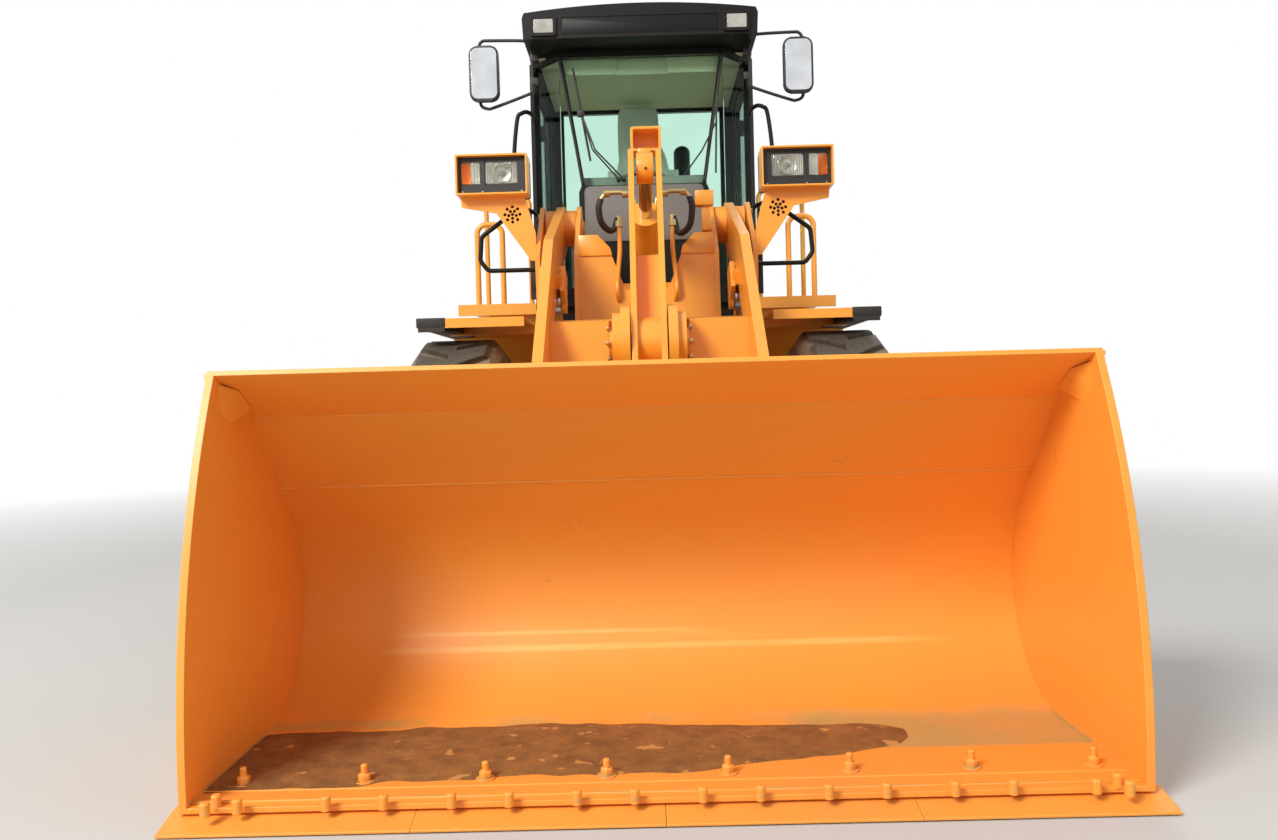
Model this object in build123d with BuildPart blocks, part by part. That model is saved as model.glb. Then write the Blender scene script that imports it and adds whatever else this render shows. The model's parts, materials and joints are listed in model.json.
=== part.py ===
from build123d import *
import math
import os

os.makedirs("parts", exist_ok=True)

# Articulated wheel loader, millimetres. Front at -Y, up at +Z, ground at Z = 0, left of the machine at +X.
# Layout along the machine
bucket_tip_y = -3575
front_axle_y = -945
hitch_y = 490
rear_axle_y = 1925
rear_end_y = 3575

# Wheels
tyre_radius = 675
tyre_width = 445
tyre_shoulder = 70
tread_bars = 20
tread_depth = 42
tread_rib = 28
tread_groove = 80
tread_slant = 95
rim_radius = 318
rim_width = 400
rim_wall = 14
track = 1850
wheel_gap = 0.4
hub_flange_radius = 190
hub_flange_width = 40
axle_tube_radius = 105
axle_drop_radius = 150
axle_ball_radius = 215
axle_ball_width = 300
axle_z = tyre_radius
wheel_x = track / 2

# Bucket, seen from the side as a floor, a rolled back, a straight back and a spill guard
bucket_width = 2440
bucket_plate = 14
bucket_side_plate = 20
bucket_floor_z = 48
bucket_floor_length = 600
bucket_roll_radius = 380
bucket_back_angle = 42
bucket_back_length = 450
bucket_guard_angle = 65
bucket_guard_length = 285
bucket_side_bulge = 75
bucket_side_setback = 70
edge_thickness = 30
edge_length = 255
edge_bevel = 110
edge_overhang = 30
edge_segments = 4
edge_joint_gap = 1.5

# Pivots of the boom and linkage, side view
boom_pivot_y = -385
boom_pivot_z = 1985
bucket_pin_y = -2440
bucket_pin_z = 280
link_pin_y = -2470
link_pin_z = 495
crank_pivot_y = -1625
crank_pivot_z = 1280
crank_top_y = -1355
crank_top_z = 2090
crank_foot_y = -1880
crank_foot_z = 530
tilt_base_y = -455
tilt_base_z = 1600
lift_base_y = -175
lift_base_z = 950
lift_ear_y = -1025
lift_ear_z = 1520

# Fits
pin_clearance = 0.05
side_gap = 6
seat_gap = 0.3

# Boom
arm_x = 460
arm_thickness = 45
arm_front_radius = 92
arm_rear_radius = 118
arm_depth = 265
arm_boss_width = 110
arm_boss_radius = 88
arm_bow_y = -1165
arm_bow_z = 1685
arm_knee_y = -1780
arm_knee_z = 1120
bucket_pin_radius = 32
boom_pin_radius = 40
pin_head = 14
pin_head_extra = 16
bucket_pin_cap = 26
bucket_pin_cap_radius = 100
lug_plate = 28
crank_lug_plate = 40
crank_boss_radius = 165
crank_cap_radius = 132
crank_cap = 36
cross_tube_radius = 88
cross_tube_y = -1415
cross_tube_z = 1075
cross_box_front_y = -1545
cross_box_rear_y = -1375
cross_box_low_z = 1015
cross_box_top_z = 1405

# Bellcrank and link
crank_plate = 25
crank_inner = 50
crank_width = 270
crank_end_radius = 88
crank_pin_radius = 45
crank_web = 20
link_half = 38
link_eye_radius = 58
link_height = 92
link_pin_radius = 27
link_pin_cap = 24
link_pin_cap_radius = 72

# Cylinders
tilt_barrel_radius = 66
tilt_barrel_length = 700
tilt_rod_radius = 33
tilt_eye_radius = 68
tilt_eye_half = 38
tilt_base_eye_half = 42
lift_barrel_radius = 58
lift_barrel_length = 640
lift_rod_radius = 33
lift_eye_radius = 62
lift_eye_half = 36
lift_pin_radius = 28
gland_length = 60
gland_extra = 8
barrel_start = 18
steer_barrel_radius = 44
steer_barrel_length = 500
steer_rod_radius = 22
steer_eye_radius = 46
steer_eye_half = 26
steer_base_x = 300
steer_base_y = 1010
steer_rod_x = 330
steer_rod_y = 190
steer_z = 850
steer_pin_radius = 20

# Front frame
tower_inner_x = 348
tower_plate = 24
tower_outer_x = 548
tower_top_radius = 118
frame_low_z = 500
frame_rear_y = 100
hitch_plate = 40
hitch_upper_z = 1120
hitch_lower_z = 560
hitch_radius = 112
hitch_pin_radius = 38
hitch_plate_gap = 4
hitch_half_width = 190

# Rear frame
rail_x = 360
rail_plate = 24
rail_low_z = 640
rail_top_z = 1120
rail_front_y = 1100
neck_half_width = 150
neck_front_y = 720

# Counterweight
weight_front_y = 2760
weight_half_width = 1150
weight_low_z = 560
weight_top_z = 1290
weight_corner = 190

# Cab
cab_floor_z = 1600
cab_floor_plate = 40
cab_top_z = 3120
cab_front_y = 100
cab_front_half = 500
cab_corner_y = 325
cab_half_width = 690
cab_rear_y = 1380
cab_wall = 45
cab_base_half = 560
cab_base_z = 1215
screen_low_z = 2320
screen_top_z = 3085
screen_frame = 42
screen_top_half = 470
screen_low_half = 352
screen_bar = 22
corner_pane_x = 390
corner_pane_low_z = 1710
door_front_y = 375
door_rear_y = 1190
door_low_z = 1690
door_top_z = 3075
door_frame = 55
door_gap = 6
door_thickness = 34
glass = 6
roof_front_y = -125
roof_rear_y = 1470
roof_half_width = 680
roof_side_height = 150
roof_arch_height = 42
roof_edge_drop = 30
roof_edge_inset = 12
roof_lamp_x = 556
roof_lamp_width = 150
roof_lamp_height = 115
roof_lamp_depth = 15
roof_lens_rim = 18
roof_lens_depth = 9
roof_band_half = 450
roof_band_height = 100
roof_band_depth = 8

# Hood
hood_front_y = 1420
hood_rear_y = 3400
hood_half_width = 620
hood_low_z = 1215
hood_top_z = 2230
hood_drop = 130
hood_plate = 10
hood_corner = 110
side_door_front_y = 1560
side_door_rear_y = 2960
side_door_low_z = 1500
side_door_top_z = 1985
side_door_plate = 12
mesh_length = 520
mesh_height = 330
mesh_depth = 4
mesh_corner = 50
mesh_inset = 90
grille_plate = 20
grille_low_z = 1340
grille_top_z = 1985
grille_half = 520
louvre_rows = 10
louvre_pitch = 56
louvre_height = 26
louvre_half = 218
louvre_depth = 8

# Platforms and fenders
platform_z = 1650
platform_plate = 14
platform_half = 1180
platform_front_y = 345
platform_rear_y = 1330
fender_plate = 10
fender_lip = 45
fender_apron_drop = 240
fender_apron_reach = 130
fender_stay_length = 50
fender_stay_height = 40
fender_stay_inset = 60
front_fender_z = 1440
front_fender_in_x = 585
front_fender_out_x = 1090
front_fender_front_y = -1240
front_fender_rear_y = -330
rail_tube_radius = 17

# Hinges of the doors
hinge_pin_radius = 8
hinge_play = 0.06
hinge_sleeve_radius = 15
hinge_stand = 20
hinge_space = 5
hinge_leaf = 46
hinge_seat = 8
hinge_sleeve_half = 25
hinge_arm = 18
cab_hinge_z = (1830, 2920)
side_hinge_y = (1800, 2720)
grille_hinge_z = (1450, 1880)


def unit(angle):
    # Unit direction that leans forward from straight up by angle degrees, as (y, z)
    return (-math.sin(math.radians(angle)), math.cos(math.radians(angle)))


def shift(point, direction, amount):
    return (point[0] + direction[0] * amount, point[1] + direction[1] * amount)


def normal(direction):
    # Outward normal of a wall that runs along direction, on the side away from the bucket's mouth
    return (direction[1], -direction[0])


def mitre(first, second):
    # Offset of a bend's outer corner for one unit of plate
    dot = first[0] * second[0] + first[1] * second[1]
    return ((first[0] + second[0]) / (1 + dot), (first[1] + second[1]) / (1 + dot))


# Bucket profile points (y, z)
roll_y = bucket_tip_y + bucket_floor_length
roll_z = bucket_floor_z + bucket_roll_radius
back_dir = unit(bucket_back_angle)
guard_dir = unit(bucket_guard_angle)
floor_front = (bucket_tip_y + bucket_side_setback, bucket_floor_z)
floor_rear = (roll_y, bucket_floor_z)
roll_end = shift((roll_y, roll_z), normal(back_dir), bucket_roll_radius)
roll_mid = shift((roll_y, roll_z), (0.82, -0.572), bucket_roll_radius)
bend = shift(roll_end, back_dir, bucket_back_length)
top = shift(bend, guard_dir, bucket_guard_length)
outer_radius = bucket_roll_radius + bucket_plate
out_floor_front = (floor_front[0], bucket_floor_z - bucket_plate)
out_floor_rear = (roll_y, bucket_floor_z - bucket_plate)
out_roll_end = shift((roll_y, roll_z), normal(back_dir), outer_radius)
out_roll_mid = shift((roll_y, roll_z), (0.82, -0.572), outer_radius)
out_bend = shift(bend, mitre(normal(back_dir), normal(guard_dir)), bucket_plate)
out_top = shift(top, normal(guard_dir), bucket_plate)
mouth_mid = ((floor_front[0] + top[0]) / 2, (floor_front[1] + top[1]) / 2)
mouth_bulge = shift(mouth_mid, (-0.95, 0.31), bucket_side_bulge)

with BuildPart() as bucket_shell:
    with BuildSketch(Plane.YZ.offset(-bucket_width / 2 + bucket_side_plate)):
        with BuildLine():
            Line(floor_front, floor_rear)
            ThreePointArc(floor_rear, roll_mid, roll_end)
            Line(roll_end, bend)
            Line(bend, top)
            Line(top, out_top)
            Line(out_top, out_bend)
            Line(out_bend, out_roll_end)
            ThreePointArc(out_roll_end, out_roll_mid, out_floor_rear)
            Line(out_floor_rear, out_floor_front)
            Line(out_floor_front, floor_front)
        make_face()
    extrude(amount=bucket_width - 2 * bucket_side_plate)
bucket_shell.part.label = "bucket_shell"
export_step(bucket_shell.part, "parts/bucket_shell.step")

# Outline of the whole bucket, from which the side plates and the lugs take their edges
with BuildSketch() as bucket_outline:
    with BuildLine():
        ThreePointArc(floor_front, mouth_bulge, top)
        Line(top, out_top)
        Line(out_top, out_bend)
        Line(out_bend, out_roll_end)
        ThreePointArc(out_roll_end, out_roll_mid, out_floor_rear)
        Line(out_floor_rear, out_floor_front)
        Line(out_floor_front, floor_front)
    make_face()

with BuildPart() as bucket_sides:
    for side in (-1, 1):
        side_x = side * (bucket_width - bucket_side_plate) / 2
        with BuildSketch(Plane.YZ.offset(side_x - bucket_side_plate / 2)):
            add(bucket_outline.sketch_local)
        extrude(amount=bucket_side_plate)
bucket_sides.part.label = "bucket_sides"
export_step(bucket_sides.part, "parts/bucket_sides.step")

# Bolt-on cutting edge under the floor, in segments
edge_width = bucket_width + 2 * edge_overhang
segment_width = edge_width / edge_segments
edge_top_z = bucket_floor_z - bucket_plate
with BuildPart() as cutting_edge:
    for k in range(edge_segments):
        low_x = -edge_width / 2 + k * segment_width + edge_joint_gap / 2
        with BuildSketch(Plane.YZ.offset(low_x)):
            Polygon(
                (bucket_tip_y, edge_top_z - edge_thickness),
                (bucket_tip_y + edge_length, edge_top_z - edge_thickness),
                (bucket_tip_y + edge_length, edge_top_z),
                (bucket_tip_y + edge_bevel, edge_top_z),
                (bucket_tip_y, edge_top_z - edge_thickness + 6),
                align=None,
            )
        extrude(amount=segment_width - edge_joint_gap)
cutting_edge.part.label = "cutting_edge"
export_step(cutting_edge.part, "parts/cutting_edge.step")

# Lugs on the bucket's back: a pair for each boom arm and a pair for the link
lug_pair_x = arm_boss_width / 2 + side_gap + lug_plate / 2
link_pair_x = link_half + side_gap + lug_plate / 2
arm_lugs = [arm_x - lug_pair_x, arm_x + lug_pair_x]
with BuildPart() as bucket_lugs:
    for x in [-v for v in arm_lugs] + arm_lugs:
        with BuildSketch(Plane.YZ.offset(x - lug_plate / 2)):
            with Locations((bucket_pin_y, bucket_pin_z)):
                Circle(bucket_pin_cap_radius + 4)
            Polygon(
                (bucket_pin_y - 20, bucket_pin_z - arm_boss_radius + 3),
                (bucket_pin_y + 60, bucket_pin_z + 64),
                (roll_y + 320, roll_z + 190),
                (roll_y + 100, roll_z),
                (roll_y + 60, bucket_floor_z + 30),
                align=None,
            )
            add(bucket_outline.sketch_local, mode=Mode.SUBTRACT)
        extrude(amount=lug_plate)
    for x in (-link_pair_x, link_pair_x):
        with BuildSketch(Plane.YZ.offset(x - lug_plate / 2)):
            with Locations((link_pin_y, link_pin_z)):
                Circle(link_pin_cap_radius + 6)
            Polygon(
                (link_pin_y + 10, link_pin_z - link_eye_radius - 7),
                (link_pin_y + 30, link_pin_z + link_eye_radius + 1),
                (roll_y + 180, roll_z + 330),
                (roll_y + 100, roll_z),
                (roll_y + 300, roll_z - 190),
                align=None,
            )
            add(bucket_outline.sketch_local, mode=Mode.SUBTRACT)
        extrude(amount=lug_plate)
    with BuildSketch(Plane.YZ):
        with Locations((bucket_pin_y, bucket_pin_z)):
            Circle(bucket_pin_radius + pin_clearance)
        with Locations((link_pin_y, link_pin_z)):
            Circle(link_pin_radius + pin_clearance)
    extrude(amount=bucket_width / 2, both=True, mode=Mode.SUBTRACT)
bucket_lugs.part.label = "bucket_lugs"
export_step(bucket_lugs.part, "parts/bucket_lugs.step")

# Pins that carry the bucket on the boom arms
bucket_pin_length = 2 * (lug_pair_x + lug_plate / 2) + 2 * seat_gap
with BuildPart() as bucket_pins:
    for side in (-1, 1):
        with BuildSketch(Plane.YZ.offset(side * arm_x - bucket_pin_length / 2)):
            with Locations((bucket_pin_y, bucket_pin_z)):
                Circle(bucket_pin_radius)
        extrude(amount=bucket_pin_length)
        for end in (-1, 1):
            cap_x = side * arm_x + end * (bucket_pin_length + bucket_pin_cap) / 2 - bucket_pin_cap / 2
            with BuildSketch(Plane.YZ.offset(cap_x)):
                with Locations((bucket_pin_y, bucket_pin_z)):
                    Circle(bucket_pin_cap_radius)
            extrude(amount=bucket_pin_cap)
bucket_pins.part.label = "bucket_pins"
export_step(bucket_pins.part, "parts/bucket_pins.step")

# Boom arms: one bowed plate a side, with bosses at both ends and an ear for the lift cylinder
front_dir = math.atan2(arm_knee_z - bucket_pin_z, arm_knee_y - bucket_pin_y)
mid_dir = math.atan2(arm_bow_z - arm_knee_z, arm_bow_y - arm_knee_y)
rear_dir = math.atan2(boom_pivot_z - arm_bow_z, boom_pivot_y - arm_bow_y)


def beside(y, z, direction, amount):
    # Point at a distance to the left of a direction, as seen along +X
    return (y - math.sin(direction) * amount, z + math.cos(direction) * amount)


half = arm_depth / 2
knee_dir = (front_dir + mid_dir) / 2
bow_dir = (mid_dir + rear_dir) / 2
arm_points = [
    beside(bucket_pin_y, bucket_pin_z, front_dir, arm_front_radius),
    beside(arm_knee_y, arm_knee_z, knee_dir, half),
    beside(arm_bow_y, arm_bow_z, bow_dir, half),
    beside(boom_pivot_y, boom_pivot_z, rear_dir, arm_rear_radius),
    beside(boom_pivot_y, boom_pivot_z, rear_dir, -arm_rear_radius),
    beside(arm_bow_y, arm_bow_z, bow_dir, -half),
    beside(arm_knee_y, arm_knee_z, knee_dir, -half),
    beside(bucket_pin_y, bucket_pin_z, front_dir, -arm_front_radius),
]
ear_plate = 20
ear_x = lift_eye_half + side_gap + ear_plate / 2
ear_root = beside(lift_ear_y, lift_ear_z, rear_dir, lift_eye_radius + 30)
with BuildPart() as boom_arms:
    for side in (-1, 1):
        with BuildSketch(Plane.YZ.offset(side * arm_x - arm_thickness / 2)):
            Polygon(*arm_points, align=None)
            with Locations((bucket_pin_y, bucket_pin_z)):
                Circle(arm_front_radius)
            with Locations((boom_pivot_y, boom_pivot_z)):
                Circle(arm_rear_radius)
        extrude(amount=arm_thickness)
        with BuildSketch(Plane.YZ.offset(side * arm_x - arm_boss_width / 2)):
            with Locations((bucket_pin_y, bucket_pin_z)):
                Circle(arm_boss_radius)
        extrude(amount=arm_boss_width)
        with BuildSketch(Plane.YZ.offset(side * arm_x - tower_outer_x / 2 + (tower_inner_x + tower_plate) / 2 + side_gap)):
            with Locations((boom_pivot_y, boom_pivot_z)):
                Circle(arm_rear_radius - 20)
        extrude(amount=tower_outer_x - tower_inner_x - tower_plate - 2 * side_gap)
        for end in (-1, 1):
            with BuildSketch(Plane.YZ.offset(side * arm_x + end * ear_x - ear_plate / 2)):
                with Locations((lift_ear_y, lift_ear_z)):
                    Circle(lift_eye_radius - 6)
                Polygon(
                    beside(lift_ear_y, lift_ear_z, rear_dir + math.pi / 2, lift_eye_radius - 8),
                    beside(ear_root[0], ear_root[1], rear_dir + math.pi / 2, 120),
                    beside(ear_root[0], ear_root[1], rear_dir, 90),
                    beside(ear_root[0], ear_root[1], rear_dir - math.pi / 2, 130),
                    beside(lift_ear_y, lift_ear_z, rear_dir - math.pi / 2, lift_eye_radius - 8),
                    align=None,
                )
            extrude(amount=ear_plate)
        with BuildSketch(Plane.YZ.offset(side * arm_x - ear_x)):
            Polygon(
                beside(ear_root[0], ear_root[1], rear_dir + math.pi / 2, 95),
                beside(ear_root[0], ear_root[1], rear_dir - math.pi / 2, 95),
                beside(*beside(ear_root[0], ear_root[1], rear_dir, 60), rear_dir - math.pi / 2, 95),
                beside(*beside(ear_root[0], ear_root[1], rear_dir, 60), rear_dir + math.pi / 2, 95),
                align=None,
            )
        extrude(amount=2 * ear_x)
    with BuildSketch(Plane.YZ):
        with Locations((bucket_pin_y, bucket_pin_z)):
            Circle(bucket_pin_radius + pin_clearance)
        with Locations((boom_pivot_y, boom_pivot_z)):
            Circle(boom_pin_radius + pin_clearance)
    extrude(amount=tower_outer_x + 100, both=True, mode=Mode.SUBTRACT)
boom_arms.part.label = "boom_arms"
export_step(boom_arms.part, "parts/boom_arms.step")

# Cross member: a tube right across, a box each side, and two lugs that hold the bellcrank
lug_x = crank_inner + crank_plate + side_gap + crank_lug_plate / 2
arm_face = arm_x - arm_thickness / 2
with BuildPart() as boom_cross:
    with BuildSketch(Plane.YZ.offset(-arm_face)):
        with Locations((cross_tube_y, cross_tube_z)):
            Circle(cross_tube_radius)
    extrude(amount=2 * arm_face)
    for side in (-1, 1):
        inner_x = lug_x - crank_lug_plate / 2
        low_x = inner_x if side > 0 else -arm_face
        with BuildSketch(Plane.YZ.offset(low_x)):
            Polygon(
                (cross_box_front_y, cross_box_low_z + 60),
                (cross_box_rear_y, cross_box_low_z),
                (cross_box_rear_y + 25, cross_box_top_z - 60),
                (cross_box_rear_y, cross_box_top_z),
                (cross_box_front_y, cross_box_top_z - 20),
                align=None,
            )
        extrude(amount=arm_face - inner_x)
        with BuildSketch(Plane.YZ.offset(side * lug_x - crank_lug_plate / 2)):
            with Locations((crank_pivot_y, crank_pivot_z)):
                Circle(crank_boss_radius)
            Polygon(
                (crank_pivot_y - 30, crank_pivot_z - crank_boss_radius + 3),
                (cross_tube_y, cross_tube_z - cross_tube_radius),
                (cross_box_rear_y, cross_box_top_z),
                (crank_pivot_y, crank_pivot_z + crank_boss_radius),
                align=None,
            )
        extrude(amount=crank_lug_plate)
    with BuildSketch(Plane.YZ):
        with Locations((crank_pivot_y, crank_pivot_z)):
            Circle(crank_pin_radius + pin_clearance)
    extrude(amount=arm_face, both=True, mode=Mode.SUBTRACT)
    # Pockets that clear the pin's caps
    for side in (-1, 1):
        pocket_width = crank_cap + pin_head + side_gap
        pocket_x = side * (lug_x + (crank_lug_plate + pocket_width) / 2) - pocket_width / 2
        with BuildSketch(Plane.YZ.offset(pocket_x)):
            with Locations((crank_pivot_y, crank_pivot_z)):
                Circle(crank_cap_radius + side_gap)
        extrude(amount=pocket_width, mode=Mode.SUBTRACT)
boom_cross.part.label = "boom_cross"
export_step(boom_cross.part, "parts/boom_cross.step")

# Pin of the bellcrank
crank_pin_half = lug_x + crank_lug_plate / 2 + seat_gap
with BuildPart() as crank_pin:
    with BuildSketch(Plane.YZ.offset(-crank_pin_half)):
        with Locations((crank_pivot_y, crank_pivot_z)):
            Circle(crank_pin_radius)
    extrude(amount=2 * crank_pin_half)
    for side in (-1, 1):
        with BuildSketch(Plane.YZ.offset(side * (crank_pin_half + crank_cap / 2) - crank_cap / 2)):
            with Locations((crank_pivot_y, crank_pivot_z)):
                Circle(crank_cap_radius)
        extrude(amount=crank_cap)
        head_x = side * (crank_pin_half + crank_cap + pin_head / 2) - pin_head / 2
        with BuildSketch(Plane.YZ.offset(head_x)):
            with Locations((crank_pivot_y, crank_pivot_z)):
                Circle(crank_pin_radius + pin_head_extra)
        extrude(amount=pin_head)
crank_pin.part.label = "crank_pin"
export_step(crank_pin.part, "parts/crank_pin.step")

# Bellcrank: two plates with forks at both ends, a pivot sleeve and a recessed web
top_dir = math.atan2(crank_top_z - crank_pivot_z, crank_top_y - crank_pivot_y)
foot_dir = math.atan2(crank_pivot_z - crank_foot_z, crank_pivot_y - crank_foot_y)
crank_points = [
    beside(crank_top_y, crank_top_z, top_dir, crank_end_radius),
    beside(crank_pivot_y, crank_pivot_z, (top_dir + foot_dir) / 2, crank_width / 2),
    beside(crank_foot_y, crank_foot_z, foot_dir, crank_end_radius),
    beside(crank_foot_y, crank_foot_z, foot_dir, -crank_end_radius),
    beside(crank_pivot_y, crank_pivot_z, (top_dir + foot_dir) / 2, -crank_width / 2),
    beside(crank_top_y, crank_top_z, top_dir, -crank_end_radius),
]
with BuildPart() as bellcrank:
    for side in (-1, 1):
        with BuildSketch(Plane.YZ.offset(side * (crank_inner + crank_plate / 2) - crank_plate / 2)):
            Polygon(*crank_points, align=None)
            with Locations((crank_top_y, crank_top_z), (crank_foot_y, crank_foot_z)):
                Circle(crank_end_radius)
            with Locations((crank_pivot_y, crank_pivot_z)):
                Circle(crank_width / 2)
        extrude(amount=crank_plate)
    with BuildSketch(Plane.YZ.offset(-crank_inner)):
        with Locations((crank_pivot_y, crank_pivot_z)):
            Circle(crank_width / 2 - 25)
        with BuildLine():
            Polyline(
                beside(crank_pivot_y, crank_pivot_z, foot_dir, crank_web),
                shift((crank_pivot_y, crank_pivot_z), (math.cos(foot_dir), math.sin(foot_dir)), -360),
                beside(crank_pivot_y, crank_pivot_z, foot_dir, -crank_web),
                shift((crank_pivot_y, crank_pivot_z), (math.cos(top_dir), math.sin(top_dir)), 420),
                close=True,
            )
        make_face()
    extrude(amount=2 * crank_inner)
    with BuildSketch(Plane.YZ):
        with Locations((crank_pivot_y, crank_pivot_z)):
            Circle(crank_pin_radius + pin_clearance)
    extrude(amount=crank_inner + crank_plate + 20, both=True, mode=Mode.SUBTRACT)
bellcrank.part.label = "bellcrank"
export_step(bellcrank.part, "parts/bellcrank.step")

# Pin and link between the bucket and the bellcrank's foot
link_pin_half = link_pair_x + lug_plate / 2 + seat_gap
with BuildPart() as link_pin:
    with BuildSketch(Plane.YZ.offset(-link_pin_half)):
        with Locations((link_pin_y, link_pin_z)):
            Circle(link_pin_radius)
    extrude(amount=2 * link_pin_half)
    for side in (-1, 1):
        with BuildSketch(Plane.YZ.offset(side * (link_pin_half + link_pin_cap / 2) - link_pin_cap / 2)):
            with Locations((link_pin_y, link_pin_z)):
                Circle(link_pin_cap_radius)
        extrude(amount=link_pin_cap)
link_pin.part.label = "link_pin"
export_step(link_pin.part, "parts/link_pin.step")

link_dir = math.atan2(crank_foot_z - link_pin_z, crank_foot_y - link_pin_y)
with BuildPart() as link:
    with BuildSketch(Plane.YZ.offset(-link_half)):
        Polygon(
            beside(link_pin_y, link_pin_z, link_dir, link_height / 2),
            beside(crank_foot_y, crank_foot_z, link_dir, link_height / 2),
            beside(crank_foot_y, crank_foot_z, link_dir, -link_height / 2),
            beside(link_pin_y, link_pin_z, link_dir, -link_height / 2),
            align=None,
        )
        with Locations((link_pin_y, link_pin_z), (crank_foot_y, crank_foot_z)):
            Circle(link_eye_radius)
        with Locations((link_pin_y, link_pin_z)):
            Circle(link_pin_radius + pin_clearance, mode=Mode.SUBTRACT)
    extrude(amount=2 * link_half)
link.part.label = "link"
export_step(link.part, "parts/link.step")


def cylinder_plane(y, z, toward_y, toward_z, x):
    # Plane square to a cylinder's axis at its base pin, its normal pointing at the rod's eye
    return Plane(origin=(x, y, z), x_dir=(1, 0, 0), z_dir=(0, toward_y - y, toward_z - z))


tilt_length = math.hypot(crank_top_y - tilt_base_y, crank_top_z - tilt_base_z)
tilt_plane = cylinder_plane(tilt_base_y, tilt_base_z, crank_top_y, crank_top_z, 0)
with BuildPart() as tilt_barrel:
    with BuildSketch(Plane.YZ.offset(-tilt_base_eye_half)):
        with Locations((tilt_base_y, tilt_base_z)):
            Circle(tilt_eye_radius)
    extrude(amount=2 * tilt_base_eye_half)
    with BuildSketch(tilt_plane):
        Circle(tilt_base_eye_half - 2)
    extrude(amount=tilt_barrel_length - 20)
    with BuildSketch(tilt_plane.offset(tilt_eye_radius + barrel_start)):
        Circle(tilt_barrel_radius)
    extrude(amount=tilt_barrel_length - tilt_eye_radius - barrel_start)
    with BuildSketch(tilt_plane.offset(tilt_barrel_length - gland_length)):
        Circle(tilt_barrel_radius + gland_extra)
    extrude(amount=gland_length)
    with BuildSketch(tilt_plane.offset(tilt_eye_radius + 30)):
        Circle(tilt_rod_radius + seat_gap)
    extrude(amount=tilt_barrel_length, mode=Mode.SUBTRACT)
    with BuildSketch(Plane.YZ):
        with Locations((tilt_base_y, tilt_base_z)):
            Circle(lift_pin_radius + pin_clearance)
    extrude(amount=tilt_base_eye_half + 30, both=True, mode=Mode.SUBTRACT)
tilt_barrel.part.label = "tilt_barrel"
export_step(tilt_barrel.part, "parts/tilt_barrel.step")

tilt_rod_start = 300
with BuildPart() as tilt_rod:
    with BuildSketch(tilt_plane.offset(tilt_rod_start)):
        Circle(tilt_rod_radius)
    extrude(amount=tilt_length - tilt_rod_start)
    with BuildSketch(Plane.YZ.offset(-tilt_eye_half)):
        with Locations((crank_top_y, crank_top_z)):
            Circle(tilt_eye_radius)
    extrude(amount=2 * tilt_eye_half)
tilt_rod.part.label = "tilt_rod"
export_step(tilt_rod.part, "parts/tilt_rod.step")

lift_length = math.hypot(lift_ear_y - lift_base_y, lift_ear_z - lift_base_z)
lift_rod_start = 230
for name, side in (("left", 1), ("right", -1)):
    lift_plane = cylinder_plane(lift_base_y, lift_base_z, lift_ear_y, lift_ear_z, side * arm_x)
    with BuildPart() as lift_barrel:
        with BuildSketch(Plane.YZ.offset(side * arm_x - lift_eye_half)):
            with Locations((lift_base_y, lift_base_z)):
                Circle(lift_eye_radius)
        extrude(amount=2 * lift_eye_half)
        with BuildSketch(lift_plane):
            Circle(lift_barrel_radius)
        extrude(amount=lift_barrel_length)
        with BuildSketch(lift_plane.offset(lift_barrel_length - gland_length)):
            Circle(lift_barrel_radius + gland_extra)
        extrude(amount=gland_length)
        with BuildSketch(lift_plane.offset(lift_eye_radius + 30)):
            Circle(lift_rod_radius + seat_gap)
        extrude(amount=lift_barrel_length, mode=Mode.SUBTRACT)
        with BuildSketch(Plane.YZ.offset(side * arm_x)):
            with Locations((lift_base_y, lift_base_z)):
                Circle(lift_pin_radius + pin_clearance)
        extrude(amount=lift_eye_half + 30, both=True, mode=Mode.SUBTRACT)
    lift_barrel.part.label = "lift_barrel_" + name
    export_step(lift_barrel.part, "parts/lift_barrel_" + name + ".step")

    with BuildPart() as lift_rod:
        with BuildSketch(lift_plane.offset(lift_rod_start)):
            Circle(lift_rod_radius)
        extrude(amount=lift_length - lift_rod_start)
        with BuildSketch(Plane.YZ.offset(side * arm_x - lift_eye_half)):
            with Locations((lift_ear_y, lift_ear_z)):
                Circle(lift_eye_radius)
        extrude(amount=2 * lift_eye_half)
    lift_rod.part.label = "lift_rod_" + name
    export_step(lift_rod.part, "parts/lift_rod_" + name + ".step")

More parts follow.
